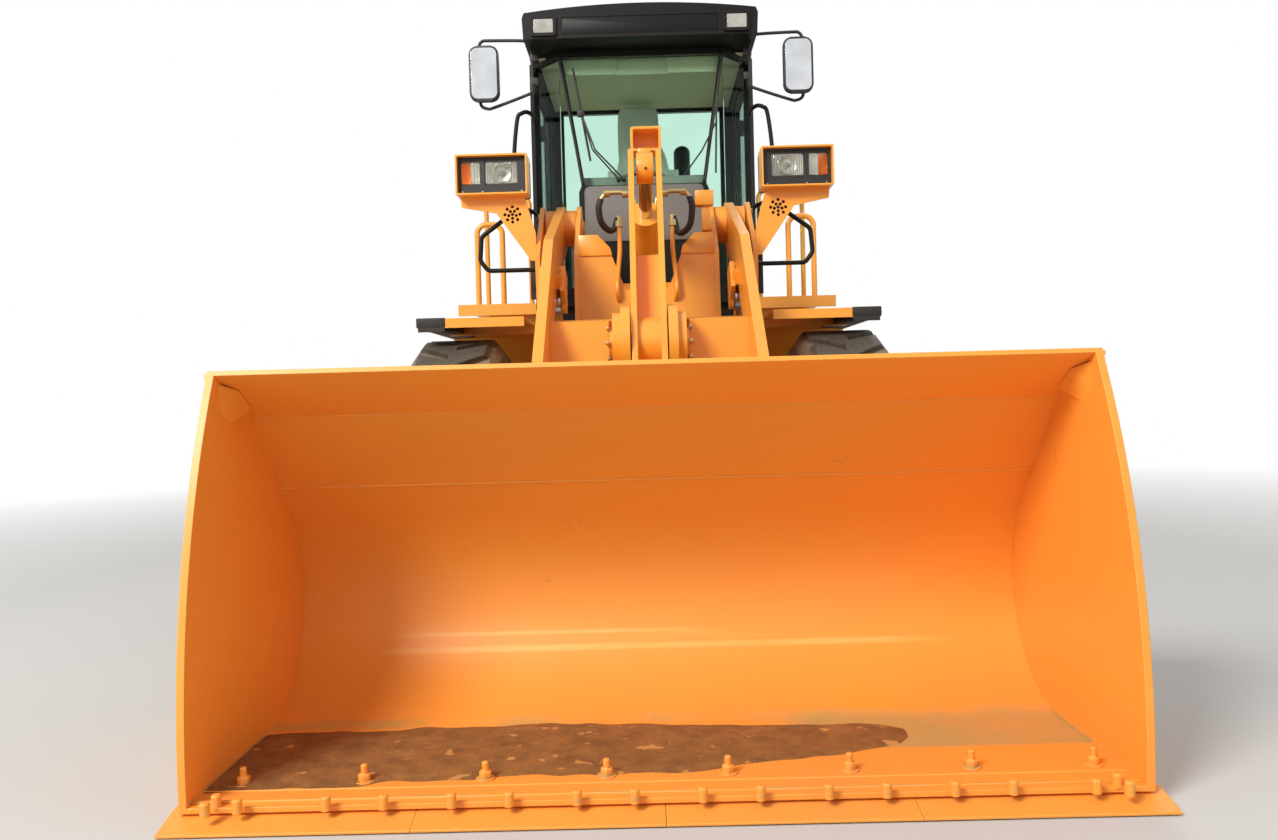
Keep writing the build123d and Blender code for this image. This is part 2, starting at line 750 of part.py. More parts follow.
# Steering cylinders lie flat between the two frames
steer_length = math.hypot(steer_base_x - steer_rod_x, steer_base_y - steer_rod_y)
steer_rod_start = 264
for name, side in (("left", 1), ("right", -1)):
    steer_plane = Plane(
        origin=(side * steer_base_x, steer_base_y, steer_z),
        x_dir=(0, 0, 1),
        z_dir=(side * (steer_rod_x - steer_base_x), steer_rod_y - steer_base_y, 0),
    )
    with BuildPart() as steer_barrel:
        with BuildSketch(Plane.XY.offset(steer_z - steer_eye_half)):
            with Locations((side * steer_base_x, steer_base_y)):
                Circle(steer_eye_radius)
        extrude(amount=2 * steer_eye_half)
        with BuildSketch(steer_plane):
            Circle(steer_eye_half - 1)
        extrude(amount=steer_barrel_length - 20)
        with BuildSketch(steer_plane.offset(steer_eye_radius + barrel_start)):
            Circle(steer_barrel_radius)
        extrude(amount=steer_barrel_length - steer_eye_radius - barrel_start)
        with BuildSketch(steer_plane.offset(steer_eye_radius + 20)):
            Circle(steer_rod_radius + seat_gap)
        extrude(amount=steer_barrel_length, mode=Mode.SUBTRACT)
        with BuildSketch(Plane.XY.offset(steer_z)):
            with Locations((side * steer_base_x, steer_base_y)):
                Circle(steer_pin_radius + pin_clearance)
        extrude(amount=steer_eye_half + 30, both=True, mode=Mode.SUBTRACT)
    steer_barrel.part.label = "steer_barrel_" + name
    export_step(steer_barrel.part, "parts/steer_barrel_" + name + ".step")

    with BuildPart() as steer_rod:
        with BuildSketch(steer_plane.offset(steer_rod_start)):
            Circle(steer_rod_radius)
        extrude(amount=steer_length - steer_rod_start)
        with BuildSketch(Plane.XY.offset(steer_z - steer_eye_half)):
            with Locations((side * steer_rod_x, steer_rod_y)):
                Circle(steer_eye_radius)
        extrude(amount=2 * steer_eye_half)
    steer_rod.part.label = "steer_rod_" + name
    export_step(steer_rod.part, "parts/steer_rod_" + name + ".step")

# Front frame: inner and outer tower plates, cross plates, hitch plates and cylinder lugs
tower_front_y = -790
tower_front_z = 1790
tower_rear_y = -170
tower_foot_z = 830
frame_front_y = -1190
frame_top_z = 1120
inner_outline = [
    (frame_front_y, frame_low_z),
    (frame_front_y, 800),
    (tower_front_y - 90, 980),
    (tower_front_y, tower_front_z),
    (boom_pivot_y - 60, boom_pivot_z + tower_top_radius - 16),
    (boom_pivot_y + tower_top_radius, boom_pivot_z),
    (tower_rear_y, frame_top_z + 120),
    (tower_rear_y + 110, frame_top_z),
    (frame_rear_y, frame_top_z),
    (frame_rear_y, frame_low_z),
]
outer_outline = [
    (tower_front_y + 60, tower_foot_z + 200),
    (tower_front_y, tower_front_z),
    (boom_pivot_y - 60, boom_pivot_z + tower_top_radius - 16),
    (boom_pivot_y + tower_top_radius, boom_pivot_z),
    (tower_rear_y, frame_top_z + 120),
    (tower_rear_y + 110, frame_top_z - 60),
    (tower_rear_y + 110, tower_foot_z),
    (tower_front_y + 260, tower_foot_z),
]
tower_low_x = tower_inner_x + tower_plate
fork_plate = 18
tilt_lug_plate = 30
tilt_lug_x = tilt_base_eye_half + side_gap + tilt_lug_plate / 2
cross_plate = 20
with BuildPart() as front_frame:
    for side in (-1, 1):
        low_x = tower_inner_x if side > 0 else -tower_low_x
        with BuildSketch(Plane.YZ.offset(low_x)):
            Polygon(*inner_outline, align=None)
            with Locations((boom_pivot_y, boom_pivot_z)):
                Circle(tower_top_radius)
        extrude(amount=tower_plate)
        low_x = tower_outer_x if side > 0 else -tower_outer_x - tower_plate
        with BuildSketch(Plane.YZ.offset(low_x)):
            Polygon(*outer_outline, align=None)
            with Locations((boom_pivot_y, boom_pivot_z)):
                Circle(tower_top_radius)
        extrude(amount=tower_plate)
        # Floor and front web between the two plates of a tower
        low_x = tower_low_x if side > 0 else -tower_outer_x
        with BuildSketch(Plane.YZ.offset(low_x)):
            Polygon(
                (tower_front_y + 260, tower_foot_z),
                (tower_rear_y + 110, tower_foot_z),
                (tower_rear_y + 110, tower_foot_z + cross_plate),
                (tower_front_y + 260, tower_foot_z + cross_plate),
                align=None,
            )
        extrude(amount=tower_outer_x - tower_low_x)
    # Cross plates between the towers
    with BuildSketch(Plane.YZ.offset(-tower_inner_x)):
        Polygon(
            (frame_front_y, frame_low_z),
            (frame_front_y, 800),
            (frame_front_y + cross_plate, 800),
            (frame_front_y + cross_plate, frame_low_z),
            align=None,
        )
        Polygon(
            (frame_rear_y - cross_plate, frame_low_z),
            (frame_rear_y - cross_plate, frame_top_z),
            (frame_rear_y, frame_top_z),
            (frame_rear_y, frame_low_z),
            align=None,
        )
        Polygon(
            (tower_rear_y - 60, frame_top_z - 300),
            (tower_rear_y - 60, tilt_base_z + 90),
            (tower_rear_y - 60 - cross_plate, tilt_base_z + 90),
            (tower_rear_y - 60 - cross_plate, frame_top_z - 300),
            align=None,
        )
        Polygon(
            (frame_rear_y - 750, frame_low_z),
            (frame_rear_y - 750, frame_low_z + 14),
            (frame_rear_y, frame_low_z + 14),
            (frame_rear_y, frame_low_z),
            align=None,
        )
    extrude(amount=2 * tower_inner_x)
    # Notched plate in front, under the tilt cylinder
    with BuildSketch(Plane.XZ.offset(-tower_front_y)):
        Polygon(
            (-tower_inner_x, tower_front_z - 420),
            (-tower_inner_x, tower_front_z - 10),
            (-180, tower_front_z - 10),
            (-110, tower_front_z - 190),
            (110, tower_front_z - 190),
            (180, tower_front_z - 10),
            (tower_inner_x, tower_front_z - 10),
            (tower_inner_x, tower_front_z - 420),
            align=None,
        )
    extrude(amount=-cross_plate)
    # Lugs of the tilt cylinder
    for side in (-1, 1):
        with BuildSketch(Plane.YZ.offset(side * tilt_lug_x - tilt_lug_plate / 2)):
            with Locations((tilt_base_y, tilt_base_z)):
                Circle(tilt_eye_radius)
            Polygon(
                (tilt_base_y - 30, tilt_base_z - tilt_eye_radius + 6),
                (tower_rear_y - 60 - cross_plate, tilt_base_z - 230),
                (tower_rear_y - 60 - cross_plate, tilt_base_z + 90),
                (tilt_base_y + 10, tilt_base_z + tilt_eye_radius - 1),
                align=None,
            )
        extrude(amount=tilt_lug_plate)
    # Hitch plates
    for z in (hitch_lower_z, hitch_upper_z - hitch_plate):
        with BuildSketch(Plane.XY.offset(z)):
            with Locations((0, hitch_y)):
                Circle(hitch_radius)
            Polygon(
                (-hitch_radius, hitch_y),
                (-hitch_half_width, frame_rear_y - cross_plate),
                (hitch_half_width, frame_rear_y - cross_plate),
                (hitch_radius, hitch_y),
                align=None,
            )
        extrude(amount=hitch_plate)
    # Forks of the steering cylinders
    for side in (-1, 1):
        for end in (-1, 1):
            fork_z = steer_z + end * (steer_eye_half + side_gap + fork_plate / 2) - fork_plate / 2
            with BuildSketch(Plane.XY.offset(fork_z)):
                with Locations((side * steer_rod_x, steer_rod_y)):
                    Circle(steer_eye_radius)
                Polygon(
                    (side * (steer_rod_x - steer_eye_radius - 14), frame_rear_y - cross_plate),
                    (side * (steer_rod_x + tower_plate + 14), frame_rear_y - cross_plate),
                    (side * (steer_rod_x + steer_eye_radius), steer_rod_y),
                    (side * (steer_rod_x - steer_eye_radius), steer_rod_y),
                    align=None,
                )
            extrude(amount=fork_plate)
    # Bores and the front axle's seat
    with BuildSketch(Plane.YZ):
        with Locations((boom_pivot_y, boom_pivot_z)):
            Circle(boom_pin_radius + pin_clearance)
        with Locations((lift_base_y, lift_base_z), (tilt_base_y, tilt_base_z)):
            Circle(lift_pin_radius + pin_clearance)
        with Locations((front_axle_y, axle_z)):
            Circle(axle_tube_radius + seat_gap)
    extrude(amount=tower_outer_x + 100, both=True, mode=Mode.SUBTRACT)
    with BuildSketch(Plane.XY.offset(frame_low_z)):
        with Locations((0, hitch_y)):
            Circle(hitch_pin_radius + pin_clearance)
    extrude(amount=frame_top_z, mode=Mode.SUBTRACT)
front_frame.part.label = "front_frame"
export_step(front_frame.part, "parts/front_frame.step")

# Pins that stay in the front frame
pin_table = [
    # pivot y, pivot z, radius, low x, high x
    (boom_pivot_y, boom_pivot_z, boom_pin_radius, tower_inner_x - 12, tower_outer_x + tower_plate + 12),
    (boom_pivot_y, boom_pivot_z, boom_pin_radius, -tower_outer_x - tower_plate - 12, 12 - tower_inner_x),
    (lift_base_y, lift_base_z, lift_pin_radius, tower_inner_x - 12, tower_outer_x + tower_plate + 12),
    (lift_base_y, lift_base_z, lift_pin_radius, -tower_outer_x - tower_plate - 12, 12 - tower_inner_x),
    (tilt_base_y, tilt_base_z, lift_pin_radius, -tilt_lug_x - tilt_lug_plate, tilt_lug_x + tilt_lug_plate),
]
with BuildPart() as front_pins:
    for y, z, radius, low_x, high_x in pin_table:
        with BuildSketch(Plane.YZ.offset(low_x)):
            with Locations((y, z)):
                Circle(radius)
        extrude(amount=high_x - low_x)
front_pins.part.label = "front_pins"
export_step(front_pins.part, "parts/front_pins.step")

# Axles: tube, centre housing, brake housings and spindles
brake_radius = 165
brake_in_x = 620
brake_gap = 6
spindle_radius = 68
spindle_end_x = wheel_x + 50
hub_in_x = wheel_x - 42
axle_outline = [
    (0, 0),
    (0, axle_ball_radius),
    (axle_ball_width * 0.25, axle_ball_radius - 14),
    (axle_ball_width / 2 + 30, axle_tube_radius + 40),
    (axle_ball_width / 2 + 70, axle_tube_radius),
    (brake_in_x - 40, axle_tube_radius),
    (brake_in_x, brake_radius),
    (hub_in_x - brake_gap, brake_radius),
    (hub_in_x - brake_gap, spindle_radius),
    (spindle_end_x, spindle_radius),
    (spindle_end_x, 0),
]
for name, axle_y, nose in (("front", front_axle_y, 1), ("rear", rear_axle_y, -1)):
    with BuildPart() as axle:
        with BuildSketch(Plane(origin=(0, axle_y, axle_z), x_dir=(1, 0, 0), z_dir=(0, -1, 0))):
            Polygon(*axle_outline, align=None)
            mirror(about=Plane.YZ)
        revolve(axis=Axis((0, axle_y, axle_z), (1, 0, 0)))
        with BuildSketch(Plane(origin=(0, axle_y, axle_z), x_dir=(1, 0, 0), z_dir=(0, nose, 0))):
            Circle(axle_drop_radius)
        extrude(amount=axle_ball_radius + 90, taper=8)
    axle.part.label = name + "_axle"
    export_step(axle.part, "parts/" + name + "_axle.step")

# Wheels: a tyre and a rim with its hub on each spindle
half_tyre = tyre_width / 2
bead_radius = rim_radius + wheel_gap
tyre_profile = [
    (-half_tyre + 30, bead_radius),
    (-half_tyre, tyre_radius - 200),
    (-half_tyre + 12, tyre_radius - 75),
    (-half_tyre + tyre_shoulder, tyre_radius),
    (half_tyre - tyre_shoulder, tyre_radius),
    (half_tyre - 12, tyre_radius - 75),
    (half_tyre, tyre_radius - 200),
    (half_tyre - 30, bead_radius),
]
# Groove between two slanted bars, from the middle rib out past the shoulder, as (x, along the tread)
groove_outline = [
    (tread_rib / 2, -tread_groove * 0.3),
    (tread_rib / 2 + half_tyre * 0.3, tread_slant * 0.12),
    (half_tyre * 0.62, tread_slant * 0.4),
    (half_tyre + 5, tread_slant),
    (half_tyre + 5, tread_slant + tread_groove),
    (half_tyre * 0.62, tread_slant * 0.4 + tread_groove),
    (tread_rib / 2 + half_tyre * 0.3, tread_slant * 0.12 + tread_groove * 0.9),
    (tread_rib / 2, tread_groove * 0.4),
]
disc_in = 40
disc_out = 62
rim_profile = [
    (-rim_width / 2, rim_radius - 34),
    (-rim_width / 2, rim_radius),
    (rim_width / 2, rim_radius),
    (rim_width / 2, rim_radius - 34),
    (rim_width / 2 - 40, rim_radius - 34),
    (rim_width / 2 - 60, rim_radius - rim_wall),
    (disc_out, rim_radius - rim_wall),
    (disc_out, hub_flange_radius),
    (disc_out + hub_flange_width, hub_flange_radius - 30),
    (disc_out + hub_flange_width + 46, hub_flange_radius - 50),
    (disc_out + hub_flange_width + 60, hub_flange_radius - 80),
    (disc_out + hub_flange_width + 60, 0),
    (spindle_end_x - wheel_x + 4, 0),
    (spindle_end_x - wheel_x + 4, spindle_radius + seat_gap),
    (hub_in_x - wheel_x, spindle_radius + seat_gap),
    (hub_in_x - wheel_x, hub_flange_radius - 30),
    (disc_in, hub_flange_radius),
    (disc_in, rim_radius - rim_wall),
    (-rim_width / 2 + 60, rim_radius - rim_wall),
    (-rim_width / 2 + 40, rim_radius - 34),
]
wheel_table = [
    # name, side of the machine, axle
    ("front_left", 1, front_axle_y),
    ("front_right", -1, front_axle_y),
    ("rear_left", 1, rear_axle_y),
    ("rear_right", -1, rear_axle_y),
]
for name, side, axle_y in wheel_table:
    centre = (side * wheel_x, axle_y, axle_z)
    wheel_plane = Plane(origin=centre, x_dir=(side, 0, 0), z_dir=(0, -side, 0))
    wheel_axis = Axis(centre, (1, 0, 0))
    with BuildPart() as tyre:
        with BuildSketch(wheel_plane):
            Polygon(*tyre_profile, align=None)
        revolve(axis=wheel_axis)
        # Grooves of the two halves, half a step apart
        for half in (-1, 1):
            groove_planes = []
            for k in range(tread_bars):
                turn = math.radians(360 / tread_bars * (k + 0.25 * half))
                radial = (0, math.cos(turn), math.sin(turn))
                spot = (centre[0], axle_y + tyre_radius * radial[1], axle_z + tyre_radius * radial[2])
                groove_planes.append(Plane(origin=spot, x_dir=(1, 0, 0), z_dir=radial))
            with BuildSketch(*groove_planes):
                Polygon(*[(half * x, along) for x, along in groove_outline], align=None)
            extrude(amount=-tread_depth, mode=Mode.SUBTRACT)
    tyre.part.label = "tyre_" + name
    export_step(tyre.part, "parts/tyre_" + name + ".step")

    with BuildPart() as rim:
        with BuildSketch(wheel_plane):
            Polygon(*rim_profile, align=None)
        revolve(axis=wheel_axis)
    rim.part.label = "rim_" + name
    export_step(rim.part, "parts/rim_" + name + ".step")

# Front fenders with folded lips, a rear apron and two stays each
fender_length = front_fender_rear_y - front_fender_front_y
tower_face = tower_outer_x + tower_plate
with BuildPart() as front_fenders:
    for side in (-1, 1):
        mid_x = side * (front_fender_in_x + front_fender_out_x) / 2
        width = front_fender_out_x - front_fender_in_x
        mid_y = (front_fender_front_y + front_fender_rear_y) / 2
        with BuildSketch(Plane.XY.offset(front_fender_z - fender_plate)):
            with Locations((mid_x, mid_y)):
                Rectangle(width, fender_length)
        extrude(amount=fender_plate)
        with BuildSketch(Plane.XY.offset(front_fender_z - fender_lip)):
            with Locations((side * (front_fender_out_x - fender_plate / 2), mid_y)):
                Rectangle(fender_plate, fender_length)
            with Locations((mid_x, front_fender_front_y + fender_plate / 2)):
                Rectangle(width, fender_plate)
        extrude(amount=fender_lip)
        with BuildSketch(Plane.YZ.offset(mid_x - width / 2)):
            Polygon(
                (front_fender_rear_y - fender_plate, front_fender_z),
                (front_fender_rear_y, front_fender_z),
                (front_fender_rear_y + fender_apron_reach, front_fender_z - fender_apron_drop),
                (front_fender_rear_y + fender_apron_reach - fender_plate, front_fender_z - fender_apron_drop),
                align=None,
            )
        extrude(amount=width)
        for stay_y in (mid_y + fender_stay_inset, front_fender_rear_y - fender_stay_inset):
            low_x = tower_face + seat_gap if side > 0 else -(front_fender_out_x - fender_stay_inset)
            with BuildSketch(Plane.YZ.offset(low_x)):
                with Locations((stay_y, front_fender_z - fender_plate - fender_stay_height / 2)):
                    Rectangle(fender_stay_length, fender_stay_height)
            extrude(amount=front_fender_out_x - fender_stay_inset - tower_face - seat_gap)
front_fenders.part.label = "front_fenders"
export_step(front_fenders.part, "parts/front_fenders.step")

# Head lamps on folded brackets that stand off the towers
lamp_y = -690
lamp_depth = 150
lamp_in_x = 602
lamp_out_x = 966
lamp_low_z = 2106
lamp_top_z = 2308
bracket_plate = 10
bracket_y = lamp_y - 20
bracket_foot = 130
bracket_low_z = 1770
bracket_neck = 28
bracket_throat_z = 1915
bracket_top_inset = 24
bracket_end_inset = 8
bracket_end_depth = 52
bracket_knee_x = 774
bracket_knee_z = 2020
shelf_length = 100
shelf_inset = 30
bracket_outline = [
    # x, z
    (tower_face + seat_gap, bracket_low_z),
    (tower_face + seat_gap, bracket_throat_z),
    (lamp_in_x + bracket_top_inset, lamp_low_z - seat_gap),
    (lamp_out_x - bracket_end_inset, lamp_low_z - seat_gap),
    (lamp_out_x - bracket_end_inset - bracket_plate / 2, lamp_low_z - bracket_end_depth),
    (bracket_knee_x, bracket_knee_z),
    (tower_face + bracket_neck, bracket_low_z),
]
rosette_x = 690
rosette_z = 2012
rosette_step = 19.5
rosette_hole_radius = 8.5
rosette = [
    # Holes of the rosette as (x, z) steps from its middle
    (0, 2),
    (1.4, 1.4),
    (-1.4, 1.4),
    (0.55, 0.8),
    (-0.55, 0.8),
    (2, 0),
    (-2, 0),
    (0, 0),
    (1, -0.3),
    (-1, -0.3),
    (0, -1),
    (1.35, -1.4),
    (-1.35, -1.4),
    (0, -2),
]
with BuildPart() as lamp_brackets:
    for side in (-1, 1):
        with BuildSketch(Plane.XZ.offset(-bracket_y)):
            Polygon(*[(side * x, z) for x, z in bracket_outline], align=None)
            with Locations((side * rosette_x, rosette_z)):
                with Locations(*[(dx * rosette_step, dz * rosette_step) for dx, dz in rosette]):
                    Circle(rosette_hole_radius, mode=Mode.SUBTRACT)
        extrude(amount=bracket_plate)
        # Foot against the tower and shelf under the lamp
        foot_x = side * (tower_face + seat_gap + bracket_plate / 2)
        with BuildSketch(Plane.YZ.offset(foot_x - bracket_plate / 2)):
            with Locations((bracket_y - bracket_plate + bracket_foot / 2, bracket_low_z + bracket_foot / 2)):
                Rectangle(bracket_foot, bracket_foot)
        extrude(amount=bracket_plate)
        with BuildSketch(Plane.XY.offset(lamp_low_z - seat_gap - bracket_plate)):
            with Locations((side * (lamp_in_x + lamp_out_x) / 2, bracket_y - bracket_plate + shelf_length / 2)):
                Rectangle(lamp_out_x - lamp_in_x - 2 * shelf_inset, shelf_length)
        extrude(amount=bracket_plate)
lamp_brackets.part.label = "lamp_brackets"
export_step(lamp_brackets.part, "parts/lamp_brackets.step")

lamp_corner = 12
lens_depth = 12
lens_height = 136
lens_lift = 12
lens_corner = 10
lens_table = [
    # distance of the lens's middle from the lamp's inner end, width
    (136, 166),
    (293, 100),
]
with BuildPart() as lamp_boxes:
    lamp_mid_z = (lamp_low_z + lamp_top_z) / 2
    for side in (-1, 1):
        with BuildSketch(Plane.XZ.offset(-lamp_y - lamp_depth / 2)):
            with Locations((side * (lamp_in_x + lamp_out_x) / 2, lamp_mid_z)):
                RectangleRounded(lamp_out_x - lamp_in_x, lamp_top_z - lamp_low_z, lamp_corner)
        extrude(amount=lamp_depth)
        # Recesses that the lenses lie in
        for lens_x, lens_width in lens_table:
            with BuildSketch(Plane.XZ.offset(-lamp_y + lamp_depth / 2)):
                with Locations((side * (lamp_in_x + lens_x), lamp_mid_z + lens_lift)):
                    RectangleRounded(lens_width, lens_height, lens_corner)
            extrude(amount=-lens_depth, mode=Mode.SUBTRACT)
lamp_boxes.part.label = "lamp_boxes"
export_step(lamp_boxes.part, "parts/lamp_boxes.step")

# Rear frame: rails, neck with hitch plates, crossmembers, steering brackets and hitch pins
cab_seat_z = cab_base_z - seat_gap
rail_end_y = weight_front_y - seat_gap
hitch_ear = 28
ear_levels = [
    hitch_lower_z - hitch_plate_gap - hitch_ear,
    hitch_lower_z + hitch_plate + hitch_plate_gap,
    hitch_upper_z - hitch_plate - hitch_plate_gap - hitch_ear,
    hitch_upper_z + hitch_plate_gap,
]
neck_low_z = ear_levels[0]
neck_top_z = ear_levels[3] + hitch_ear
cross_beam = 60
engine_mid_y = 2080
engine_length = 1100
engine_height = 800
with BuildPart() as rear_frame:
    for side in (-1, 1):
        low_x = rail_x if side > 0 else -rail_x - rail_plate
        with BuildSketch(Plane.YZ.offset(low_x)):
            Polygon(
                (rail_front_y, rail_low_z),
                (rail_front_y, rail_top_z),
                (rail_end_y, rail_top_z),
                (rail_end_y, rail_low_z),
                align=None,
            )
            with Locations((rear_axle_y, axle_z)):
                Circle(axle_tube_radius + seat_gap, mode=Mode.SUBTRACT)
        extrude(amount=rail_plate)
    # Crossmembers
    with BuildSketch(Plane.YZ.offset(-rail_x - rail_plate)):
        with Locations((rail_front_y - rail_plate / 2, (neck_low_z + neck_top_z) / 2)):
            Rectangle(rail_plate, neck_top_z - neck_low_z)
        with Locations((rail_front_y + 200, (rail_top_z + cab_seat_z) / 2)):
            Rectangle(cross_beam, cab_seat_z - rail_top_z)
        with Locations((rail_end_y - 40, (rail_low_z + rail_top_z) / 2)):
            Rectangle(80, rail_top_z - rail_low_z)
        with Locations((engine_mid_y - engine_length / 2 - cross_beam, rail_top_z - 40)):
            Rectangle(cross_beam, 80)
    extrude(amount=2 * (rail_x + rail_plate))
    # Neck
    for side in (-1, 1):
        low_x = neck_half_width - rail_plate if side > 0 else -neck_half_width
        with BuildSketch(Plane.YZ.offset(low_x)):
            with Locations(((neck_front_y + rail_front_y) / 2, (neck_low_z + neck_top_z) / 2)):
                Rectangle(rail_front_y - neck_front_y, neck_top_z - neck_low_z)
        extrude(amount=rail_plate)
    with BuildSketch(Plane.YZ.offset(-neck_half_width)):
        with Locations((neck_front_y + rail_plate / 2, (neck_low_z + neck_top_z) / 2)):
            Rectangle(rail_plate, neck_top_z - neck_low_z)
        with Locations((neck_front_y + 60, (neck_top_z + cab_seat_z) / 2)):
            Rectangle(120, cab_seat_z - neck_top_z)
    extrude(amount=2 * neck_half_width)
    for z in ear_levels:
        with BuildSketch(Plane.XY.offset(z)):
            with Locations((0, hitch_y)):
                Circle(hitch_radius)
            Polygon(
                (-hitch_radius, hitch_y),
                (-neck_half_width, neck_front_y + rail_plate),
                (neck_half_width, neck_front_y + rail_plate),
                (hitch_radius, hitch_y),
                align=None,
            )
        extrude(amount=hitch_ear)
    # Brackets and pins of the steering cylinders
    for side in (-1, 1):
        for end in (-1, 1):
            fork_z = steer_z + end * (steer_eye_half + side_gap + fork_plate / 2) - fork_plate / 2
            with BuildSketch(Plane.XY.offset(fork_z)):
                with Locations((side * steer_base_x, steer_base_y)):
                    Circle(steer_eye_radius)
                with Locations((side * steer_base_x, (steer_base_y + rail_front_y) / 2 - 6)):
                    Rectangle(2 * steer_eye_radius, rail_front_y - steer_base_y)
            extrude(amount=fork_plate)
        with BuildSketch(Plane.XY.offset(steer_z - steer_eye_half - side_gap - fork_plate)):
            with Locations((side * steer_base_x, steer_base_y)):
                Circle(steer_pin_radius)
        extrude(amount=2 * (steer_eye_half + side_gap + fork_plate))
    # Hitch pins
    ear_pairs = ((ear_levels[0], ear_levels[1] + hitch_ear), (ear_levels[2], ear_levels[3] + hitch_ear))
    for low_z, high_z in ear_pairs:
        with BuildSketch(Plane.XY.offset(low_z)):
            with Locations((0, hitch_y)):
                Circle(hitch_pin_radius)
        extrude(amount=high_z - low_z)
rear_frame.part.label = "rear_frame"
export_step(rear_frame.part, "parts/rear_frame.step")

# Engine as one block between the rails
with BuildPart() as engine:
    with BuildSketch(Plane.XY.offset(axle_z + axle_ball_radius + 30)):
        with Locations((0, engine_mid_y)):
            Rectangle(2 * (rail_x - seat_gap), engine_length)
    extrude(amount=engine_height)
engine.part.label = "engine"
export_step(engine.part, "parts/engine.step")

# Counterweight with rounded corners, a towing recess and its pin
tow_recess_radius = 120
tow_recess_depth = 240
tow_bore_radius = 22.5
tow_pin_back = 110
tow_socket = 60
tow_z = 760
with BuildPart() as counterweight:
    with BuildSketch(Plane.XY.offset(weight_low_z)):
        with BuildLine():
            Polyline(
                (-weight_half_width, weight_front_y),
                (weight_half_width, weight_front_y),
                (weight_half_width, rear_end_y - weight_corner * 1.6),
                (weight_half_width - weight_corner * 1.4, rear_end_y),
                (-weight_half_width + weight_corner * 1.4, rear_end_y),
                (-weight_half_width, rear_end_y - weight_corner * 1.6),
                close=True,
            )
        make_face()
        fillet(vertices().group_by(Axis.Y)[-1], weight_corner)
        fillet(vertices().sort_by(Axis.Y)[2:4], 60)
    extrude(amount=weight_top_z - weight_low_z)
    with BuildSketch(Plane.XZ.offset(-rear_end_y)):
        with Locations((0, tow_z)):
            Circle(tow_recess_radius)
    extrude(amount=tow_recess_depth, mode=Mode.SUBTRACT)
    with BuildSketch(Plane.XY.offset(weight_low_z)):
        with Locations((0, rear_end_y - tow_pin_back)):
            Circle(tow_bore_radius)
    extrude(amount=tow_z + tow_recess_radius + tow_socket - weight_low_z, mode=Mode.SUBTRACT)
counterweight.part.label = "counterweight"
export_step(counterweight.part, "parts/counterweight.step")

# Hood shell with rounded shoulders, two side openings and a rear opening
hood_step_y = weight_front_y - seat_gap
hood_step_z = weight_top_z + seat_gap
hood_side = [
    (hood_front_y, hood_low_z),
    (hood_front_y, hood_top_z),
    (hood_rear_y - 300, hood_top_z - hood_drop),
    (hood_rear_y, hood_top_z - hood_drop - 120),
    (hood_rear_y, hood_step_z),
    (hood_step_y, hood_step_z),
    (hood_step_y, hood_low_z),
]
# Hinge pattern: x runs out of the panel, y from the door to the fixed side, z along the pin
hinge_reach = hinge_stand + hinge_sleeve_radius
with BuildPart() as hinge_fixed:
    for end in (-1, 1):
        arm_mid = end * (hinge_sleeve_half + hinge_space + hinge_arm / 2)
        with BuildSketch(Plane.XY.offset(arm_mid - hinge_arm / 2)):
            with Locations((hinge_stand, 0)):
                Circle(hinge_sleeve_radius)
            with Locations(((hinge_reach - hinge_seat) / 2, hinge_space + hinge_leaf / 2)):
                Rectangle(hinge_reach + hinge_seat, hinge_leaf)
        extrude(amount=hinge_arm)
    pin_half = hinge_sleeve_half + hinge_space + hinge_arm
    with BuildSketch(Plane.XY.offset(-pin_half)):
        with Locations((hinge_stand, 0)):
            Circle(hinge_pin_radius)
    extrude(amount=2 * pin_half)
with BuildPart() as hinge_moving:
    with BuildSketch(Plane.XY.offset(-hinge_sleeve_half)):
        with Locations((hinge_stand, 0)):
            Circle(hinge_sleeve_radius)
        with Locations(((hinge_reach - hinge_seat) / 2, -hinge_space - hinge_leaf / 2)):
            Rectangle(hinge_reach + hinge_seat, hinge_leaf)
        with Locations((hinge_stand, 0)):
            Circle(hinge_pin_radius + hinge_play, mode=Mode.SUBTRACT)
    extrude(amount=2 * hinge_sleeve_half)

hood_hollow = [
    (hood_front_y + hood_plate, hood_low_z),
    (hood_front_y + hood_plate, hood_top_z - hood_plate),
    (hood_rear_y - 302, hood_top_z - hood_drop - hood_plate),
    (hood_rear_y - hood_plate, hood_top_z - hood_drop - 128),
    (hood_rear_y - hood_plate, hood_step_z),
    (hood_step_y, hood_step_z),
    (hood_step_y, hood_low_z),
]
side_door_mid_y = (side_door_front_y + side_door_rear_y) / 2
side_door_mid_z = (side_door_low_z + side_door_top_z) / 2
with BuildPart() as hood_core:
    with BuildSketch(Plane.YZ.offset(-hood_half_width)):
        Polygon(*hood_hollow, align=None)
    extrude(amount=2 * hood_half_width)
    with BuildSketch(Plane.XZ.offset(-hood_front_y)):
        with Locations((0, 0)):
            RectangleRounded(2 * (hood_half_width - hood_plate), 2 * (hood_top_z - hood_plate), hood_corner - hood_plate)
    extrude(amount=hood_front_y - hood_rear_y, mode=Mode.INTERSECT)
with BuildPart() as hood_block:
    with BuildSketch(Plane.YZ.offset(-hood_half_width)):
        Polygon(*hood_side, align=None)
    extrude(amount=2 * hood_half_width)
    with BuildSketch(Plane.XZ.offset(-hood_front_y)):
        with Locations((0, 0)):
            RectangleRounded(2 * hood_half_width, 2 * hood_top_z, hood_corner)
    extrude(amount=hood_front_y - hood_rear_y, mode=Mode.INTERSECT)
